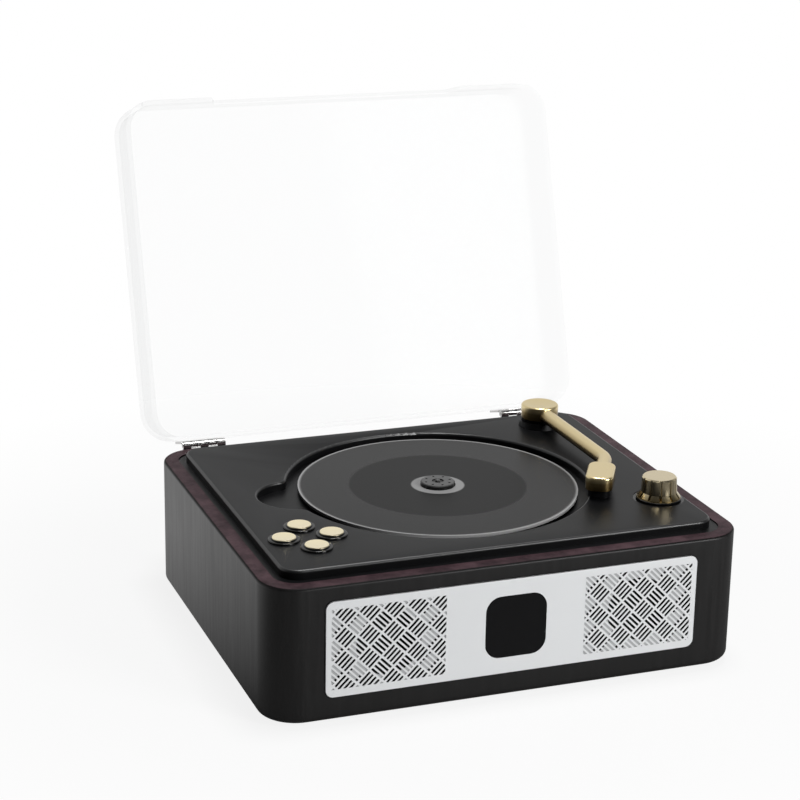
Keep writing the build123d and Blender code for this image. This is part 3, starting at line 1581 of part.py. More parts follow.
panel_outside = half_depth
panel_inside = half_depth - rear_panel_thickness
inlet_x = rear_panel_x - jack_spacing / 2
jack_x = rear_panel_x + jack_spacing / 2
with BuildPart() as rear_panel:
    with BuildSketch(front_plane(panel_outside)):
        with Locations((rear_panel_x, rear_panel_z)):
            RectangleRounded(rear_panel_width, rear_panel_height, rear_panel_corner)
        with Locations((inlet_x, rear_panel_z)):
            SlotOverall(inlet_width, inlet_height, mode=Mode.SUBTRACT)
        with Locations((jack_x, rear_panel_z)):
            Circle(jack_radius, mode=Mode.SUBTRACT)
    extrude(amount=rear_panel_thickness)
finish(rear_panel, "rear_panel")

with BuildPart() as power_inlet:
    with BuildSketch(front_plane(panel_outside)):
        with Locations((inlet_x, rear_panel_z)):
            SlotOverall(inlet_width, inlet_height)
    extrude(amount=rear_panel_thickness)
    with BuildSketch(front_plane(panel_inside)):
        with Locations((inlet_x, rear_panel_z)):
            Rectangle(inlet_width + 2 * socket_case_wall, inlet_height + 2 * socket_case_wall)
    extrude(amount=inlet_depth)
    with BuildSketch(front_plane(panel_outside)):
        with Locations((inlet_x, rear_panel_z)):
            SlotOverall(inlet_width - 2 * inlet_wall, inlet_height - 2 * inlet_wall)
            SlotOverall(
                inlet_width - 2 * inlet_tongue, inlet_height - 2 * inlet_tongue, mode=Mode.SUBTRACT
            )
    extrude(amount=inlet_depth - socket_floor, mode=Mode.SUBTRACT)
finish(power_inlet, "power_inlet")

with BuildPart() as audio_jack:
    with BuildSketch(front_plane(panel_outside)):
        with Locations((jack_x, rear_panel_z)):
            Circle(jack_radius)
    extrude(amount=rear_panel_thickness)
    with BuildSketch(front_plane(panel_inside)):
        with Locations((jack_x, rear_panel_z)):
            Rectangle(2 * (jack_radius + socket_case_wall), 2 * (jack_radius + socket_floor))
    extrude(amount=jack_length)
    with BuildSketch(front_plane(panel_outside)):
        with Locations((jack_x, rear_panel_z)):
            Circle(jack_bore)
    extrude(amount=jack_length, mode=Mode.SUBTRACT)
finish(audio_jack, "audio_jack")
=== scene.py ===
import bpy
import bmesh
from math import radians
from mathutils import Matrix, Vector


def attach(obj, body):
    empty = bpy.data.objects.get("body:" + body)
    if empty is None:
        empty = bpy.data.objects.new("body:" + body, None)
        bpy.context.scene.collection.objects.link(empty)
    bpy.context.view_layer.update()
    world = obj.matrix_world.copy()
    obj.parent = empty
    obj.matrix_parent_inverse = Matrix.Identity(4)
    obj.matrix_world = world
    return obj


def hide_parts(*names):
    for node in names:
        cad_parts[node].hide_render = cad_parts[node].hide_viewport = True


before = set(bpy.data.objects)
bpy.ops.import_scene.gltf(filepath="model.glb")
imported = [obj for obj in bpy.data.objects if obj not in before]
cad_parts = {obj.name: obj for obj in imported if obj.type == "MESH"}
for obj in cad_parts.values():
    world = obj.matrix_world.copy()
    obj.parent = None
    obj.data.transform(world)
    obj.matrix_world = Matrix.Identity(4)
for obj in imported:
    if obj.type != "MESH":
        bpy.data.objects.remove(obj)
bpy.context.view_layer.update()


# Cabinet: a box of thin board with rounded corners, veneered and stained black.
# The stain is thin on the flat rim, where the red-brown of the wood shows through.

crease_angle = radians(30)


def sewn_copy(node, name):
    """A copy of a CAD node whose triangles are joined, smooth up to the crease angle."""
    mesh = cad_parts[node].data.copy()
    mesh.name = name
    shape = bmesh.new()
    shape.from_mesh(mesh)
    bmesh.ops.remove_doubles(shape, verts=shape.verts, dist=1e-6)
    shape.to_mesh(mesh)
    shape.free()
    if mesh.has_custom_normals:
        mesh.attributes.remove(mesh.attributes["custom_normal"])
    mesh.polygons.foreach_set("use_smooth", [True] * len(mesh.polygons))
    mesh.set_sharp_from_angle(angle=crease_angle)
    piece = bpy.data.objects.new(name, mesh)
    bpy.context.scene.collection.objects.link(piece)
    return piece


def finish(piece, material, body, node):
    """Gives a piece its material, its body and the node it stands for."""
    piece.data.materials.clear()
    piece.data.materials.append(material)
    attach(piece, body)
    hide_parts(node)


def new_material(name, colour, roughness, metallic=0.0):
    """A material with one main shader, and the tools to add nodes to it."""
    material = bpy.data.materials.new(name)
    material.use_nodes = True
    shader = material.node_tree.nodes["Principled BSDF"]
    shader.inputs["Base Color"].default_value = (*colour, 1)
    shader.inputs["Roughness"].default_value = roughness
    shader.inputs["Metallic"].default_value = metallic
    return material, material.node_tree.nodes, material.node_tree.links, shader


def place(nodes, links, scale=(1, 1, 1), centre=(0, 0, 0)):
    """Object coordinates of a pattern, centred and stretched."""
    where = nodes.new("ShaderNodeTexCoord")
    mapping = nodes.new("ShaderNodeMapping")
    mapping.inputs["Location"].default_value = [-c * s for c, s in zip(centre, scale)]
    mapping.inputs["Scale"].default_value = scale
    links.new(where.outputs["Object"], mapping.inputs["Vector"])
    return mapping.outputs["Vector"]


def coordinate(nodes, links, axis):
    """One Object coordinate of a piece, X, Y or Z, in metres."""
    axes = nodes.new("ShaderNodeSeparateXYZ")
    links.new(place(nodes, links), axes.inputs["Vector"])
    return axes.outputs[axis]


def noise(nodes, links, where, scale, detail=3.0, rough=0.55):
    """A noise pattern at a scale per metre."""
    made = nodes.new("ShaderNodeTexNoise")
    made.inputs["Scale"].default_value = scale
    made.inputs["Detail"].default_value = detail
    made.inputs["Roughness"].default_value = rough
    links.new(where, made.inputs["Vector"])
    return made.outputs["Fac"]


def ramp(nodes, links, source, *stops):
    """A colour ramp with (position, colour) stops."""
    made = nodes.new("ShaderNodeValToRGB")
    band = made.color_ramp
    while len(band.elements) < len(stops):
        band.elements.new(0.5)
    for element, (position, colour) in zip(band.elements, stops):
        element.position = position
        element.color = (*colour, 1)
    links.new(source, made.inputs["Fac"])
    return made.outputs["Color"]


def span(nodes, links, source, low, high, start=0.0, end=1.0):
    """Source rescaled from low..high to start..end, clamped."""
    made = nodes.new("ShaderNodeMapRange")
    for socket, value in (("From Min", low), ("From Max", high), ("To Min", start), ("To Max", end)):
        made.inputs[socket].default_value = value
    links.new(source, made.inputs["Value"])
    return made.outputs["Result"]


def mixed(nodes, links, factor, first, second):
    """Two colours mixed by a factor. Each is a socket or a plain colour."""
    made = nodes.new("ShaderNodeMix")
    made.data_type = "RGBA"
    links.new(factor, made.inputs["Factor"])
    for name, value in (("A", first), ("B", second)):
        socket = [s for s in made.inputs if s.name == name and s.type == "RGBA"][0]
        if isinstance(value, tuple):
            socket.default_value = (*value, 1)
        else:
            links.new(value, socket)
    return [s for s in made.outputs if s.type == "RGBA"][0]


def bump(nodes, links, shader, height, distance, strength=1.0):
    """Raises the surface by a pattern, distance in metres."""
    made = nodes.new("ShaderNodeBump")
    made.inputs["Distance"].default_value = distance
    made.inputs["Strength"].default_value = strength
    links.new(height, made.inputs["Height"])
    links.new(made.outputs["Normal"], shader.inputs["Normal"])


rim_start, rim_full = 0.05885, 0.05898
round_over_start, round_over_end = 0.0578, 0.0587
side_grain_stretch = (620, 620, 26)
rim_grain_stretch = (90, 90, 90)
pore_stretch = (60, 60, 2600)
side_gloss, rim_gloss = 0.66, 0.06

black_veneer, nodes, links, shader = new_material("black_veneer", (0.007, 0.0065, 0.0065), roughness=0.42)
grain = noise(nodes, links, place(nodes, links, side_grain_stretch), 1.0, detail=6.0, rough=0.65)
rim_grain = noise(nodes, links, place(nodes, links, rim_grain_stretch), 1.0, detail=6.0, rough=0.7)
pores = noise(nodes, links, place(nodes, links, pore_stretch), 1.0, rough=0.5)
stain = ramp(
    nodes, links, grain,
    (0.3, (0.003, 0.0027, 0.0027)), (0.55, (0.005, 0.0045, 0.0045)), (0.8, (0.009, 0.0078, 0.0077)),
)
rim_stain = ramp(
    nodes, links, rim_grain, (0.35, (0.024, 0.0125, 0.0155)), (0.65, (0.072, 0.041, 0.048))
)
height = coordinate(nodes, links, "Z")
on_rim = span(nodes, links, height, rim_start, rim_full)
links.new(mixed(nodes, links, on_rim, stain, rim_stain), shader.inputs["Base Color"])
links.new(span(nodes, links, grain, 0.2, 0.8, 0.38, 0.52), shader.inputs["Roughness"])
links.new(
    span(nodes, links, height, round_over_start, round_over_end, side_gloss, rim_gloss),
    shader.inputs["Specular IOR Level"],
)
bump(nodes, links, shader, pores, distance=0.00004, strength=0.5)
finish(sewn_copy("cabinet_shell", "cabinet_box"), black_veneer, "cabinet", "cabinet_shell")


# Base: thin black board in the cabinet's lower rebate, held by four zinc cross-head screws.
# The foot is one ring of moulded rubber, which leaves the player just off the table.

def fine_grain(nodes, links, shader, scale, depth, detail=3.0, strength=1.0):
    """Raises a fine grain all over a piece, scale to the metre and depth in metres."""
    bump(nodes, links, shader, noise(nodes, links, place(nodes, links), scale, detail), depth, strength)


def uneven_polish(nodes, links, shader, scale, low, high):
    """Roughness that drifts from low to high in patches, scale to the metre."""
    patches = noise(nodes, links, place(nodes, links), scale)
    links.new(span(nodes, links, patches, 0.3, 0.7, low, high), shader.inputs["Roughness"])


def coat(material, *nodes_as_built):
    """Gives a material to CAD nodes that are shown as they are."""
    for node in nodes_as_built:
        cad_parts[node].data.materials.clear()
        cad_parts[node].data.materials.append(material)


def grey(level):
    """A grey of one level."""
    return level, level, level


black_board, nodes, links, shader = new_material("black_board", (0.02, 0.018, 0.017), roughness=0.7)
fine_grain(nodes, links, shader, scale=900, depth=0.00005, detail=4.0)
finish(sewn_copy("base_plate", "base_board"), black_board, "cabinet", "base_plate")

black_rubber, nodes, links, shader = new_material("black_rubber", grey(0.018), roughness=0.75)
fine_grain(nodes, links, shader, scale=1500, depth=0.00003)
finish(sewn_copy("rubber_foot", "foot_ring"), black_rubber, "cabinet", "rubber_foot")

zinc_steel, nodes, links, shader = new_material("zinc_steel", (0.5, 0.5, 0.51), roughness=0.35, metallic=1.0)
uneven_polish(nodes, links, shader, scale=700, low=0.28, high=0.45)
coat(zinc_steel, "deck_screws", "potentiometer_nut", "arm_clip")

# The four screws are one Geometry Nodes set: a head and a shank, and a cross cut in the head.
screw_sizes = {
    "Span X": 0.177, "Span Y": 0.14348, "Underside": 0.002,
    "Head radius": 0.0028, "Head height": 0.0012,
    "Shank radius": 0.0015, "Shank start": 0.0026, "Shank length": 0.0114,
    "Cross length": 0.0034, "Cross width": 0.0008, "Cross depth": 0.0007,
}
head_sides, shank_sides = 32, 24
screw_set = bpy.data.node_groups.new("cross_screw_set", "GeometryNodeTree")
for label in screw_sizes:
    screw_set.interface.new_socket(name=label, in_out="INPUT", socket_type="NodeSocketFloat")
screw_set.interface.new_socket(name="Screws", in_out="OUTPUT", socket_type="NodeSocketGeometry")
given = screw_set.nodes.new("NodeGroupInput").outputs


def screw_step(kind, **wanted):
    """Adds a node to the screw tree. A value is a socket, or a plain value."""
    made = screw_set.nodes.new(kind)
    for label, value in wanted.items():
        socket = made.inputs[label.replace("_", " ")]
        if isinstance(value, bpy.types.NodeSocket):
            screw_set.links.new(value, socket)
        else:
            socket.default_value = value
    return made.outputs[0]


def part_way(start, length, share):
    """Start plus a share of the length, as a socket of the tree."""
    made = screw_set.nodes.new("ShaderNodeMath")
    made.operation = "MULTIPLY_ADD"
    made.inputs[1].default_value = share
    screw_set.links.new(length, made.inputs[0])
    screw_set.links.new(start, made.inputs[2])
    return made.outputs[0]


def raised(mesh, height):
    """A mesh of the tree, moved up by a socket's height."""
    shift = screw_step("ShaderNodeCombineXYZ", Z=height)
    return screw_step("GeometryNodeTransform", Geometry=mesh, Translation=shift)


def joined_or_cut(operation, first, second):
    """Two meshes of the tree joined, or the second cut from the first."""
    made = screw_set.nodes.new("GeometryNodeMeshBoolean")
    made.operation = operation
    made.solver = "EXACT"
    screw_set.links.new(first, made.inputs["Mesh 1" if operation == "DIFFERENCE" else "Mesh 2"])
    screw_set.links.new(second, made.inputs["Mesh 2"])
    return made.outputs["Mesh"]


head = screw_step(
    "GeometryNodeMeshCylinder",
    Vertices=head_sides, Radius=given["Head radius"], Depth=given["Head height"],
)
shank = screw_step(
    "GeometryNodeMeshCylinder",
    Vertices=shank_sides, Radius=given["Shank radius"], Depth=given["Shank length"],
)
screw = joined_or_cut(
    "UNION",
    raised(head, part_way(given["Underside"], given["Head height"], 0.5)),
    raised(shank, part_way(given["Shank start"], given["Shank length"], 0.5)),
)
for along, across in (("Cross length", "Cross width"), ("Cross width", "Cross length")):
    # The heads face down. Half of each bar stands out of the head's face.
    twice_deep = part_way(given["Cross depth"], given["Cross depth"], 1.0)
    bar_size = screw_step("ShaderNodeCombineXYZ", X=given[along], Y=given[across], Z=twice_deep)
    bar = screw_step("GeometryNodeMeshCube", Size=bar_size)
    screw = joined_or_cut("DIFFERENCE", screw, raised(bar, given["Underside"]))
corners = screw_step(
    "GeometryNodeMeshGrid", Size_X=given["Span X"], Size_Y=given["Span Y"], Vertices_X=2, Vertices_Y=2
)
spread = screw_step("GeometryNodeInstanceOnPoints", Points=corners, Instance=screw)
real = screw_step("GeometryNodeRealizeInstances", Geometry=spread)
coated = screw_step("GeometryNodeSetMaterial", Geometry=real, Material=zinc_steel)
screw_set.links.new(coated, screw_set.nodes.new("NodeGroupOutput").inputs[0])

screws = bpy.data.objects.new("base_screw_set", bpy.data.meshes.new("base_screw_set"))
bpy.context.scene.collection.objects.link(screws)
layout = screws.modifiers.new("screws", "NODES")
layout.node_group = screw_set
for item in screw_set.interface.items_tree:
    if item.in_out == "INPUT":
        layout[item.identifier] = screw_sizes[item.name]
solved = screws.evaluated_get(bpy.context.evaluated_depsgraph_get())
screws.data = bpy.data.meshes.new_from_object(solved)
screws.modifiers.clear()
finish(screws, zinc_steel, "cabinet", "base_screws")


# Front plate: one pressed aluminium panel, anodised pale silver and satin, with a smoked
# window. The weave of its two grilles is sunk in it, and cut right through at each speaker.

silver = (0.89, 0.905, 0.915)
slot_wall_shade = (0.1, 0.1, 0.103)
faint_floor_shade = (0.56, 0.57, 0.58)
deep_slot_shade = grey(0.006)
plate_face, plate_sunk = -0.08635, -0.08585
brush_stretch = (60, 900, 3000)

pale_silver, nodes, links, shader = new_material("pale_silver", silver, roughness=0.45, metallic=0.2)
brushing = noise(nodes, links, place(nodes, links, brush_stretch), 1.0, detail=2.0)
links.new(span(nodes, links, brushing, 0.3, 0.7, 0.4, 0.5), shader.inputs["Roughness"])
how_deep = span(nodes, links, coordinate(nodes, links, "Y"), plate_face, plate_sunk)
# Painted shade in the slots: the face stays silver, the slots' walls are painted dark, the floors of the
# faint slots a darker silver, and the deep ones near black below their top.
silver_and_slot_shade = ramp(
    nodes, links, how_deep, (0.0, silver), (0.03, silver), (0.1, slot_wall_shade), (0.5, slot_wall_shade),
    (0.58, faint_floor_shade), (0.64, faint_floor_shade), (0.7, deep_slot_shade),
)
links.new(silver_and_slot_shade, shader.inputs["Base Color"])
bump(nodes, links, shader, brushing, distance=0.00001, strength=0.4)
finish(sewn_copy("front_plate", "grille_panel"), pale_silver, "cabinet", "front_plate")

smoked_acrylic, nodes, links, shader = new_material("smoked_acrylic", (0.006, 0.006, 0.0065), roughness=0.2)
shader.inputs["Specular IOR Level"].default_value = 0.25
uneven_polish(nodes, links, shader, scale=60, low=0.18, high=0.24)
finish(
    sewn_copy("display_window", "window_pane"), smoked_acrylic, "cabinet", "display_window"
)


# Loudspeakers: a black pressed frame with a magnet, and a cone of black paper.
# They sit against the cabinet's front wall, behind the open part of each grille.

speaker_black, nodes, links, shader = new_material("speaker_black", grey(0.012), roughness=0.5)
fine_grain(nodes, links, shader, scale=1200, depth=0.00002)
finish(
    sewn_copy("speaker_frames", "speaker_baskets"), speaker_black, "cabinet",
    "speaker_frames",
)

cone_paper, nodes, links, shader = new_material("cone_paper", grey(0.01), roughness=0.8)
fine_grain(nodes, links, shader, scale=2500, depth=0.00006, detail=5.0)
finish(
    sewn_copy("speaker_cones", "speaker_paper_cones"), cone_paper, "cabinet",
    "speaker_cones",
)


# Deck: one black moulding in satin plastic, whose flange lies in the cabinet's rim.
# The disc well and the finger notch are sunk in its raised top.

edge_low, edge_high = 0.061, 0.063
flat_gloss, edge_gloss = grey(0.125), grey(0.55)

deck_black, nodes, links, shader = new_material("deck_black", (0.0045, 0.0046, 0.005), roughness=0.38)
cloud = noise(nodes, links, place(nodes, links), 45)
links.new(span(nodes, links, cloud, 0.2, 0.8, 0.37, 0.39), shader.inputs["Roughness"])
# The edges just under the raised top shine. The flat faces are dull.
edge_shine = ramp(
    nodes, links, span(nodes, links, coordinate(nodes, links, "Z"), edge_low, edge_high),
    (0.12, flat_gloss), (0.35, edge_gloss), (0.77, edge_gloss), (0.797, flat_gloss),
)
links.new(edge_shine, shader.inputs["Specular IOR Level"])
fine_grain(nodes, links, shader, scale=4200, depth=0.000004, detail=2.0, strength=0.2)
finish(sewn_copy("top_deck", "deck_moulding"), deck_black, "cabinet", "top_deck")


# Disc: clear plastic, with a dark printed label, a smoke-black playing surface and
# clear rings at the bore and the rim. It stands on the spindle's hub and turns with it.

disc_centre = (0.0, 0.0015, 0.0607)
disc_radius = 0.06
label_edge, playing_start = 0.0375, 0.0385
groove_rings = 250
clear_ring, label_print, playing_side = grey(0.26), grey(0.004), grey(0.007)

disc_black, nodes, links, shader = new_material("disc_black", grey(0.012), roughness=0.25)
shader.inputs["Specular IOR Level"].default_value = 0.125
from_centre = nodes.new("ShaderNodeVectorMath")
from_centre.operation = "LENGTH"
links.new(place(nodes, links, (1, 1, 0), disc_centre), from_centre.inputs[0])
radius = from_centre.outputs["Value"]
# The stops are shares of the disc's radius.
rings = ramp(
    nodes, links, span(nodes, links, radius, 0.0, disc_radius),
    (0.0, clear_ring), (0.185, clear_ring), (0.195, label_print), (0.63, label_print),
    (0.64, playing_side), (0.975, playing_side), (0.985, grey(0.1)), (0.99, clear_ring), (1.0, grey(0.38)),
)
links.new(rings, shader.inputs["Base Color"])
links.new(span(nodes, links, radius, label_edge, playing_start, 0.42, 0.26), shader.inputs["Roughness"])
grooves = nodes.new("ShaderNodeTexWave")
grooves.wave_type = "RINGS"
grooves.rings_direction = "Z"
grooves.inputs["Scale"].default_value = groove_rings
links.new(place(nodes, links, (1, 1, 0), disc_centre), grooves.inputs["Vector"])
bump(nodes, links, shader, grooves.outputs["Fac"], distance=0.000004, strength=0.3)
finish(sewn_copy("compact_disc", "disc_with_label"), disc_black, "spindle", "compact_disc")


# Spindle hub: black moulded plastic with three sprung balls that hold the disc.
# It is pressed on the motor's shaft.

side_end, face_start = 0.0626, 0.063

hub_black, nodes, links, shader = new_material("hub_black", grey(0.014), roughness=0.3)
shader.inputs["Specular IOR Level"].default_value = 0.2
# Painted light: the hub's top face is a lighter grey than its sides.
painted_lit_top = span(nodes, links, coordinate(nodes, links, "Z"), side_end, face_start)
links.new(mixed(nodes, links, painted_lit_top, grey(0.006), grey(0.075)), shader.inputs["Base Color"])
fine_grain(nodes, links, shader, scale=3000, depth=0.00001, strength=0.5)
finish(sewn_copy("spindle_hub", "hub_moulding"), hub_black, "spindle", "spindle_hub")
finish(sewn_copy("hub_balls", "hub_ball_set"), hub_black, "spindle", "hub_balls")


# Buttons: four black keys in glossy black rings, each with a dished gold cap pressed
# on it. A stem under each key works a switch on the board below.

gloss_black, nodes, links, shader = new_material("gloss_black", grey(0.004), roughness=0.14)
shader.inputs["Specular IOR Level"].default_value = 0.35
uneven_polish(nodes, links, shader, scale=300, low=0.12, high=0.18)


def gold_finish(name, colour, roughness, drift):
    """Machined aluminium, anodised gold: satin, with a faint drift in its polish."""
    material, nodes, links, shader = new_material(name, colour, roughness, metallic=1.0)
    shine = noise(nodes, links, place(nodes, links), 70, detail=1.0)
    links.new(
        span(nodes, links, shine, 0.2, 0.8, roughness - drift, roughness + drift),
        shader.inputs["Roughness"],
    )
    return material, nodes, links, shader


cap_gold = gold_finish("cap_gold", (0.95, 0.85, 0.6), roughness=0.3, drift=0.012)[0]
for key in ("play", "back", "next", "stop"):
    finish(
        sewn_copy(key + "_button", key + "_key"), gloss_black, key + "_key", key + "_button"
    )
    cap_node = key + "_button_cap"
    finish(sewn_copy(cap_node, key + "_cap"), cap_gold, key + "_key", cap_node)
finish(sewn_copy("button_bezels", "button_rings"), gloss_black, "cabinet", "button_bezels")


# Volume knob: turned gold metal with grooves for the fingers, on a black foot ring.
# It is pressed on the potentiometer's shaft and turns over a black collar.

bright_knob, shaded_flare = (0.7, 0.6, 0.4), (0.3, 0.23, 0.11)
foot_ring_top, gold_start = 0.06345, 0.06355
flare_foot, flare_top = 0.0635, 0.067

knob_gold, nodes, links, shader = new_material("knob_gold", bright_knob, roughness=0.22, metallic=1.0)
height = coordinate(nodes, links, "Z")
is_gold = span(nodes, links, height, foot_ring_top, gold_start)
# Painted shade: the flare's gold is made darker toward its foot.
flare_painted_shade = ramp(
    nodes, links, span(nodes, links, height, flare_foot, flare_top), (0.0, shaded_flare), (1.0, bright_knob)
)
links.new(mixed(nodes, links, is_gold, grey(0.006), flare_painted_shade), shader.inputs["Base Color"])
links.new(is_gold, shader.inputs["Metallic"])
finish(sewn_copy("volume_knob", "knob_turned"), knob_gold, "volume", "volume_knob")
finish(sewn_copy("knob_collar", "knob_ring"), gloss_black, "cabinet", "knob_collar")


# Arm: a gold post that turns in the deck, with a bent tube and a head of the same gold.
# The head rests on a black foot beside the disc. The post stands in a black collar.

bright_arm = (0.76, 0.63, 0.36)
shade_foot, shade_top = 0.0668, 0.0724

arm_gold, nodes, links, shader = gold_finish("arm_gold", bright_arm, roughness=0.32, drift=0.01)
up_the_arm = span(nodes, links, coordinate(nodes, links, "Z"), shade_foot, shade_top)
# Painted shade: the gold is made darker toward the deck.
painted_shade = ramp(
    nodes, links, up_the_arm, (0.0, (0.14, 0.095, 0.035)), (0.55, (0.3, 0.22, 0.1)), (0.9, bright_arm)
)
links.new(painted_shade, shader.inputs["Base Color"])
for node in ("arm_post", "arm_tube", "arm_head"):
    finish(sewn_copy(node, node + "_gold"), arm_gold, "tonearm", node)
finish(sewn_copy("arm_foot", "arm_rest_foot"), deck_black, "tonearm", "arm_foot")
finish(sewn_copy("arm_collar", "arm_ring"), deck_black, "cabinet", "arm_collar")


# Lid: a shallow box of clear acrylic sheet, moulded in one, with polished edges.
# It hangs on two plated steel hinges at the back.

clear_acrylic, nodes, links, shader = new_material("clear_acrylic", grey(0.72), roughness=0.06)
uneven_polish(nodes, links, shader, scale=30, low=0.04, high=0.08)
see_through = nodes.new("ShaderNodeBsdfTransparent")
see_through.inputs["Color"].default_value = (0.992, 0.993, 0.993, 1)
slant = nodes.new("ShaderNodeLayerWeight")
# The sheet is clear seen straight on, and glossier at a slant.
gloss_share = ramp(
    nodes, links, slant.outputs["Facing"],
    (0.0, grey(0.012)), (0.7, grey(0.02)), (0.88, grey(0.12)), (1.0, grey(0.6)),
)
sheet = nodes.new("ShaderNodeMixShader")
links.new(gloss_share, sheet.inputs["Fac"])
links.new(see_through.outputs[0], sheet.inputs[1])
links.new(shader.outputs[0], sheet.inputs[2])
links.new(sheet.outputs[0], nodes["Material Output"].inputs["Surface"])
finish(sewn_copy("lid_shell", "lid_clear"), clear_acrylic, "lid", "lid_shell")

plated_steel, nodes, links, shader = new_material(
    "plated_steel", (0.46, 0.455, 0.45), roughness=0.2, metallic=1.0
)
uneven_polish(nodes, links, shader, scale=900, low=0.14, high=0.24)
for leaf, body in (("body", "cabinet"), ("lid", "lid")):
    for side in ("left", "right"):
        node = "hinge_" + leaf + "_leaf_" + side
        finish(sewn_copy(node, node + "_plated"), plated_steel, body, node)
coat(
    plated_steel, "hinge_pins", "hinge_screws", "guide_rods", "gear_pin", "spindle_shaft",
    "potentiometer_shaft", "arm_pivot",
)


# Inner parts: the pick-up drive, the boards, the switches and the motors, which show only
# through the gaps. The rear panel and its two sockets, of the same black moulding, show behind.

motor_can, nodes, links, shader = new_material("motor_can", (0.42, 0.42, 0.43), roughness=0.35, metallic=1.0)
uneven_polish(nodes, links, shader, scale=400, low=0.3, high=0.45)
coat(motor_can, "spindle_motor", "feed_motor", "potentiometer")

coat(speaker_black, "pickup_chassis")
coat(black_rubber, "chassis_dampers")

black_moulding, nodes, links, shader = new_material("black_moulding", grey(0.02), roughness=0.5)
fine_grain(nodes, links, shader, scale=2000, depth=0.00002)
coat(black_moulding, "pickup_sled", "button_switches", "rear_panel", "power_inlet", "audio_jack")

pale_acetal, nodes, links, shader = new_material("pale_acetal", (0.7, 0.68, 0.6), roughness=0.4)
fine_grain(nodes, links, shader, scale=1500, depth=0.00001)
coat(pale_acetal, "feed_gear", "feed_pinion")

solder_mask, nodes, links, shader = new_material("solder_mask", (0.01, 0.09, 0.03), roughness=0.35)
tracks = noise(nodes, links, place(nodes, links), 260, detail=1.0)
links.new(
    ramp(nodes, links, tracks, (0.48, (0.008, 0.07, 0.025)), (0.52, (0.02, 0.13, 0.05))),
    shader.inputs["Base Color"],
)
coat(solder_mask, "main_board", "button_board", "display_board")

turned_brass, nodes, links, shader = new_material(
    "turned_brass", (0.7, 0.5, 0.2), roughness=0.3, metallic=1.0
)
uneven_polish(nodes, links, shader, scale=800, low=0.25, high=0.4)
coat(turned_brass, "arm_bush")

coated_lens, nodes, links, shader = new_material("coated_lens", (0.2, 0.25, 0.6), roughness=0.05)
shader.inputs["Coat Weight"].default_value = 1.0
coat(coated_lens, "objective_lens")


# Studio: a pale plain floor that runs into a white background, one soft box above and one
# in front to the right, and the camera where the photograph was taken from.

def seen_white(nodes, links, straight_share, mirrored_share):
    """How much of the white backdrop a ray sees: straight or through glass, or mirrored."""
    path = nodes.new("ShaderNodeLightPath")
    straight = nodes.new("ShaderNodeMath")
    straight.operation = "MAXIMUM"
    links.new(path.outputs["Is Camera Ray"], straight.inputs[0])
    links.new(path.outputs["Is Transmission Ray"], straight.inputs[1])
    parts = []
    mirrored = path.outputs["Is Glossy Ray"]
    for ray, part in ((straight.outputs[0], straight_share), (mirrored, mirrored_share)):
        share = nodes.new("ShaderNodeMath")
        share.operation = "MULTIPLY"
        links.new(ray, share.inputs[0])
        if isinstance(part, float):
            share.inputs[1].default_value = part
        else:
            links.new(part, share.inputs[1])
        parts.append(share.outputs[0])
    most = nodes.new("ShaderNodeMath")
    most.operation = "MAXIMUM"
    links.new(parts[0], most.inputs[0])
    links.new(parts[1], most.inputs[1])
    return most.outputs[0]


floor_size = 6
near_floor, far_floor = 0.12, 0.34
near_whiteness = 0.86
room_front, room_back = -0.06, 0.15

floor_white = bpy.data.materials.new("floor_white")
floor_white.use_nodes = True
nodes, links = floor_white.node_tree.nodes, floor_white.node_tree.links
nodes.clear()
dull = nodes.new("ShaderNodeBsdfDiffuse")
path = nodes.new("ShaderNodeLightPath")
links.new(
    mixed(nodes, links, path.outputs["Is Glossy Ray"], grey(0.7), grey(0.12)), dull.inputs["Color"]
)
glow = nodes.new("ShaderNodeEmission")
both = nodes.new("ShaderNodeMixShader")
reach = nodes.new("ShaderNodeVectorMath")
reach.operation = "LENGTH"
links.new(place(nodes, links), reach.inputs[0])
near_share = span(nodes, links, reach.outputs["Value"], near_floor, far_floor, near_whiteness, 1.0)
back_share = span(nodes, links, coordinate(nodes, links, "Y"), room_front, room_back, 0.08, 1.0)
links.new(seen_white(nodes, links, near_share, back_share), both.inputs["Fac"])
links.new(dull.outputs[0], both.inputs[1])
links.new(glow.outputs[0], both.inputs[2])
out = nodes.new("ShaderNodeOutputMaterial")
links.new(both.outputs[0], out.inputs["Surface"])
bpy.ops.mesh.primitive_plane_add(size=floor_size, location=(0, 0, 0))
floor = bpy.context.object
floor.name = "studio_floor"
floor.data.materials.append(floor_white)

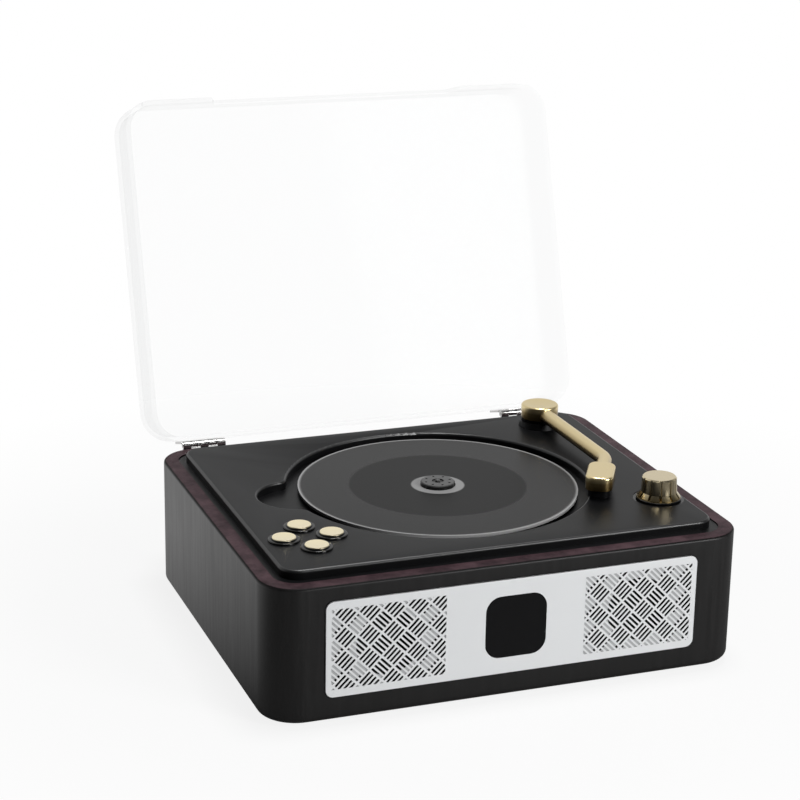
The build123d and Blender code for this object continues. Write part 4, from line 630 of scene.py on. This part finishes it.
room_light = 0.18
world = bpy.data.worlds.new("studio_white")
bpy.context.scene.world = world
world.use_nodes = True
nodes, links = world.node_tree.nodes, world.node_tree.links
background = nodes["Background"]
background.inputs["Strength"].default_value = room_light
white = nodes.new("ShaderNodeBackground")
where = nodes.new("ShaderNodeTexCoord")
axes = nodes.new("ShaderNodeSeparateXYZ")
links.new(where.outputs["Generated"], axes.inputs["Vector"])
# Mirrored, the room is dark in front of the player and pale behind it.
room = span(nodes, links, axes.outputs["Y"], -0.2, 0.6, 0.04, 0.8)
path = nodes.new("ShaderNodeLightPath")
links.new(mixed(nodes, links, path.outputs["Is Glossy Ray"], grey(1.0), room), white.inputs["Color"])
both = nodes.new("ShaderNodeMixShader")
links.new(seen_white(nodes, links, 1.0, 1.0), both.inputs["Fac"])
links.new(background.outputs[0], both.inputs[1])
links.new(white.outputs[0], both.inputs[2])
links.new(both.outputs[0], nodes["World Output"].inputs["Surface"])

player_middle = Vector((0, 0, 0.05))


def soft_box(name, watts, width, location):
    """A square area lamp that points at the player."""
    lamp = bpy.data.lights.new(name, "AREA")
    lamp.energy = watts
    lamp.size = width
    held = bpy.data.objects.new(name, lamp)
    bpy.context.scene.collection.objects.link(held)
    held.location = location
    held.rotation_mode = "QUATERNION"
    held.rotation_quaternion = (player_middle - Vector(location)).to_track_quat("-Z", "Y")


soft_box("top_box", watts=11, width=0.35, location=(0.1, -0.02, 1.25))
soft_box("key_box", watts=19, width=0.6, location=(0.85, -1.3, 0.7))

eye_place = (-0.3245, -0.8150, 0.3817)
ahead = Vector((0.3346, 0.8912, -0.3063)).normalized()
upward = Vector((0.0909, 0.2930, 0.9518))
aside = ahead.cross(upward).normalized()
upward = aside.cross(ahead)
eye = bpy.data.cameras.new("photo_eye")
eye.lens = 98.10
eye.sensor_width = 36
eye.clip_start = 0.05
camera = bpy.data.objects.new("photo_eye", eye)
bpy.context.scene.collection.objects.link(camera)
turn = Matrix((aside, upward, -ahead)).transposed()
camera.matrix_world = Matrix.Translation(eye_place) @ turn.to_4x4()
bpy.context.scene.camera = camera
bpy.context.scene.view_settings.view_transform = "Standard"
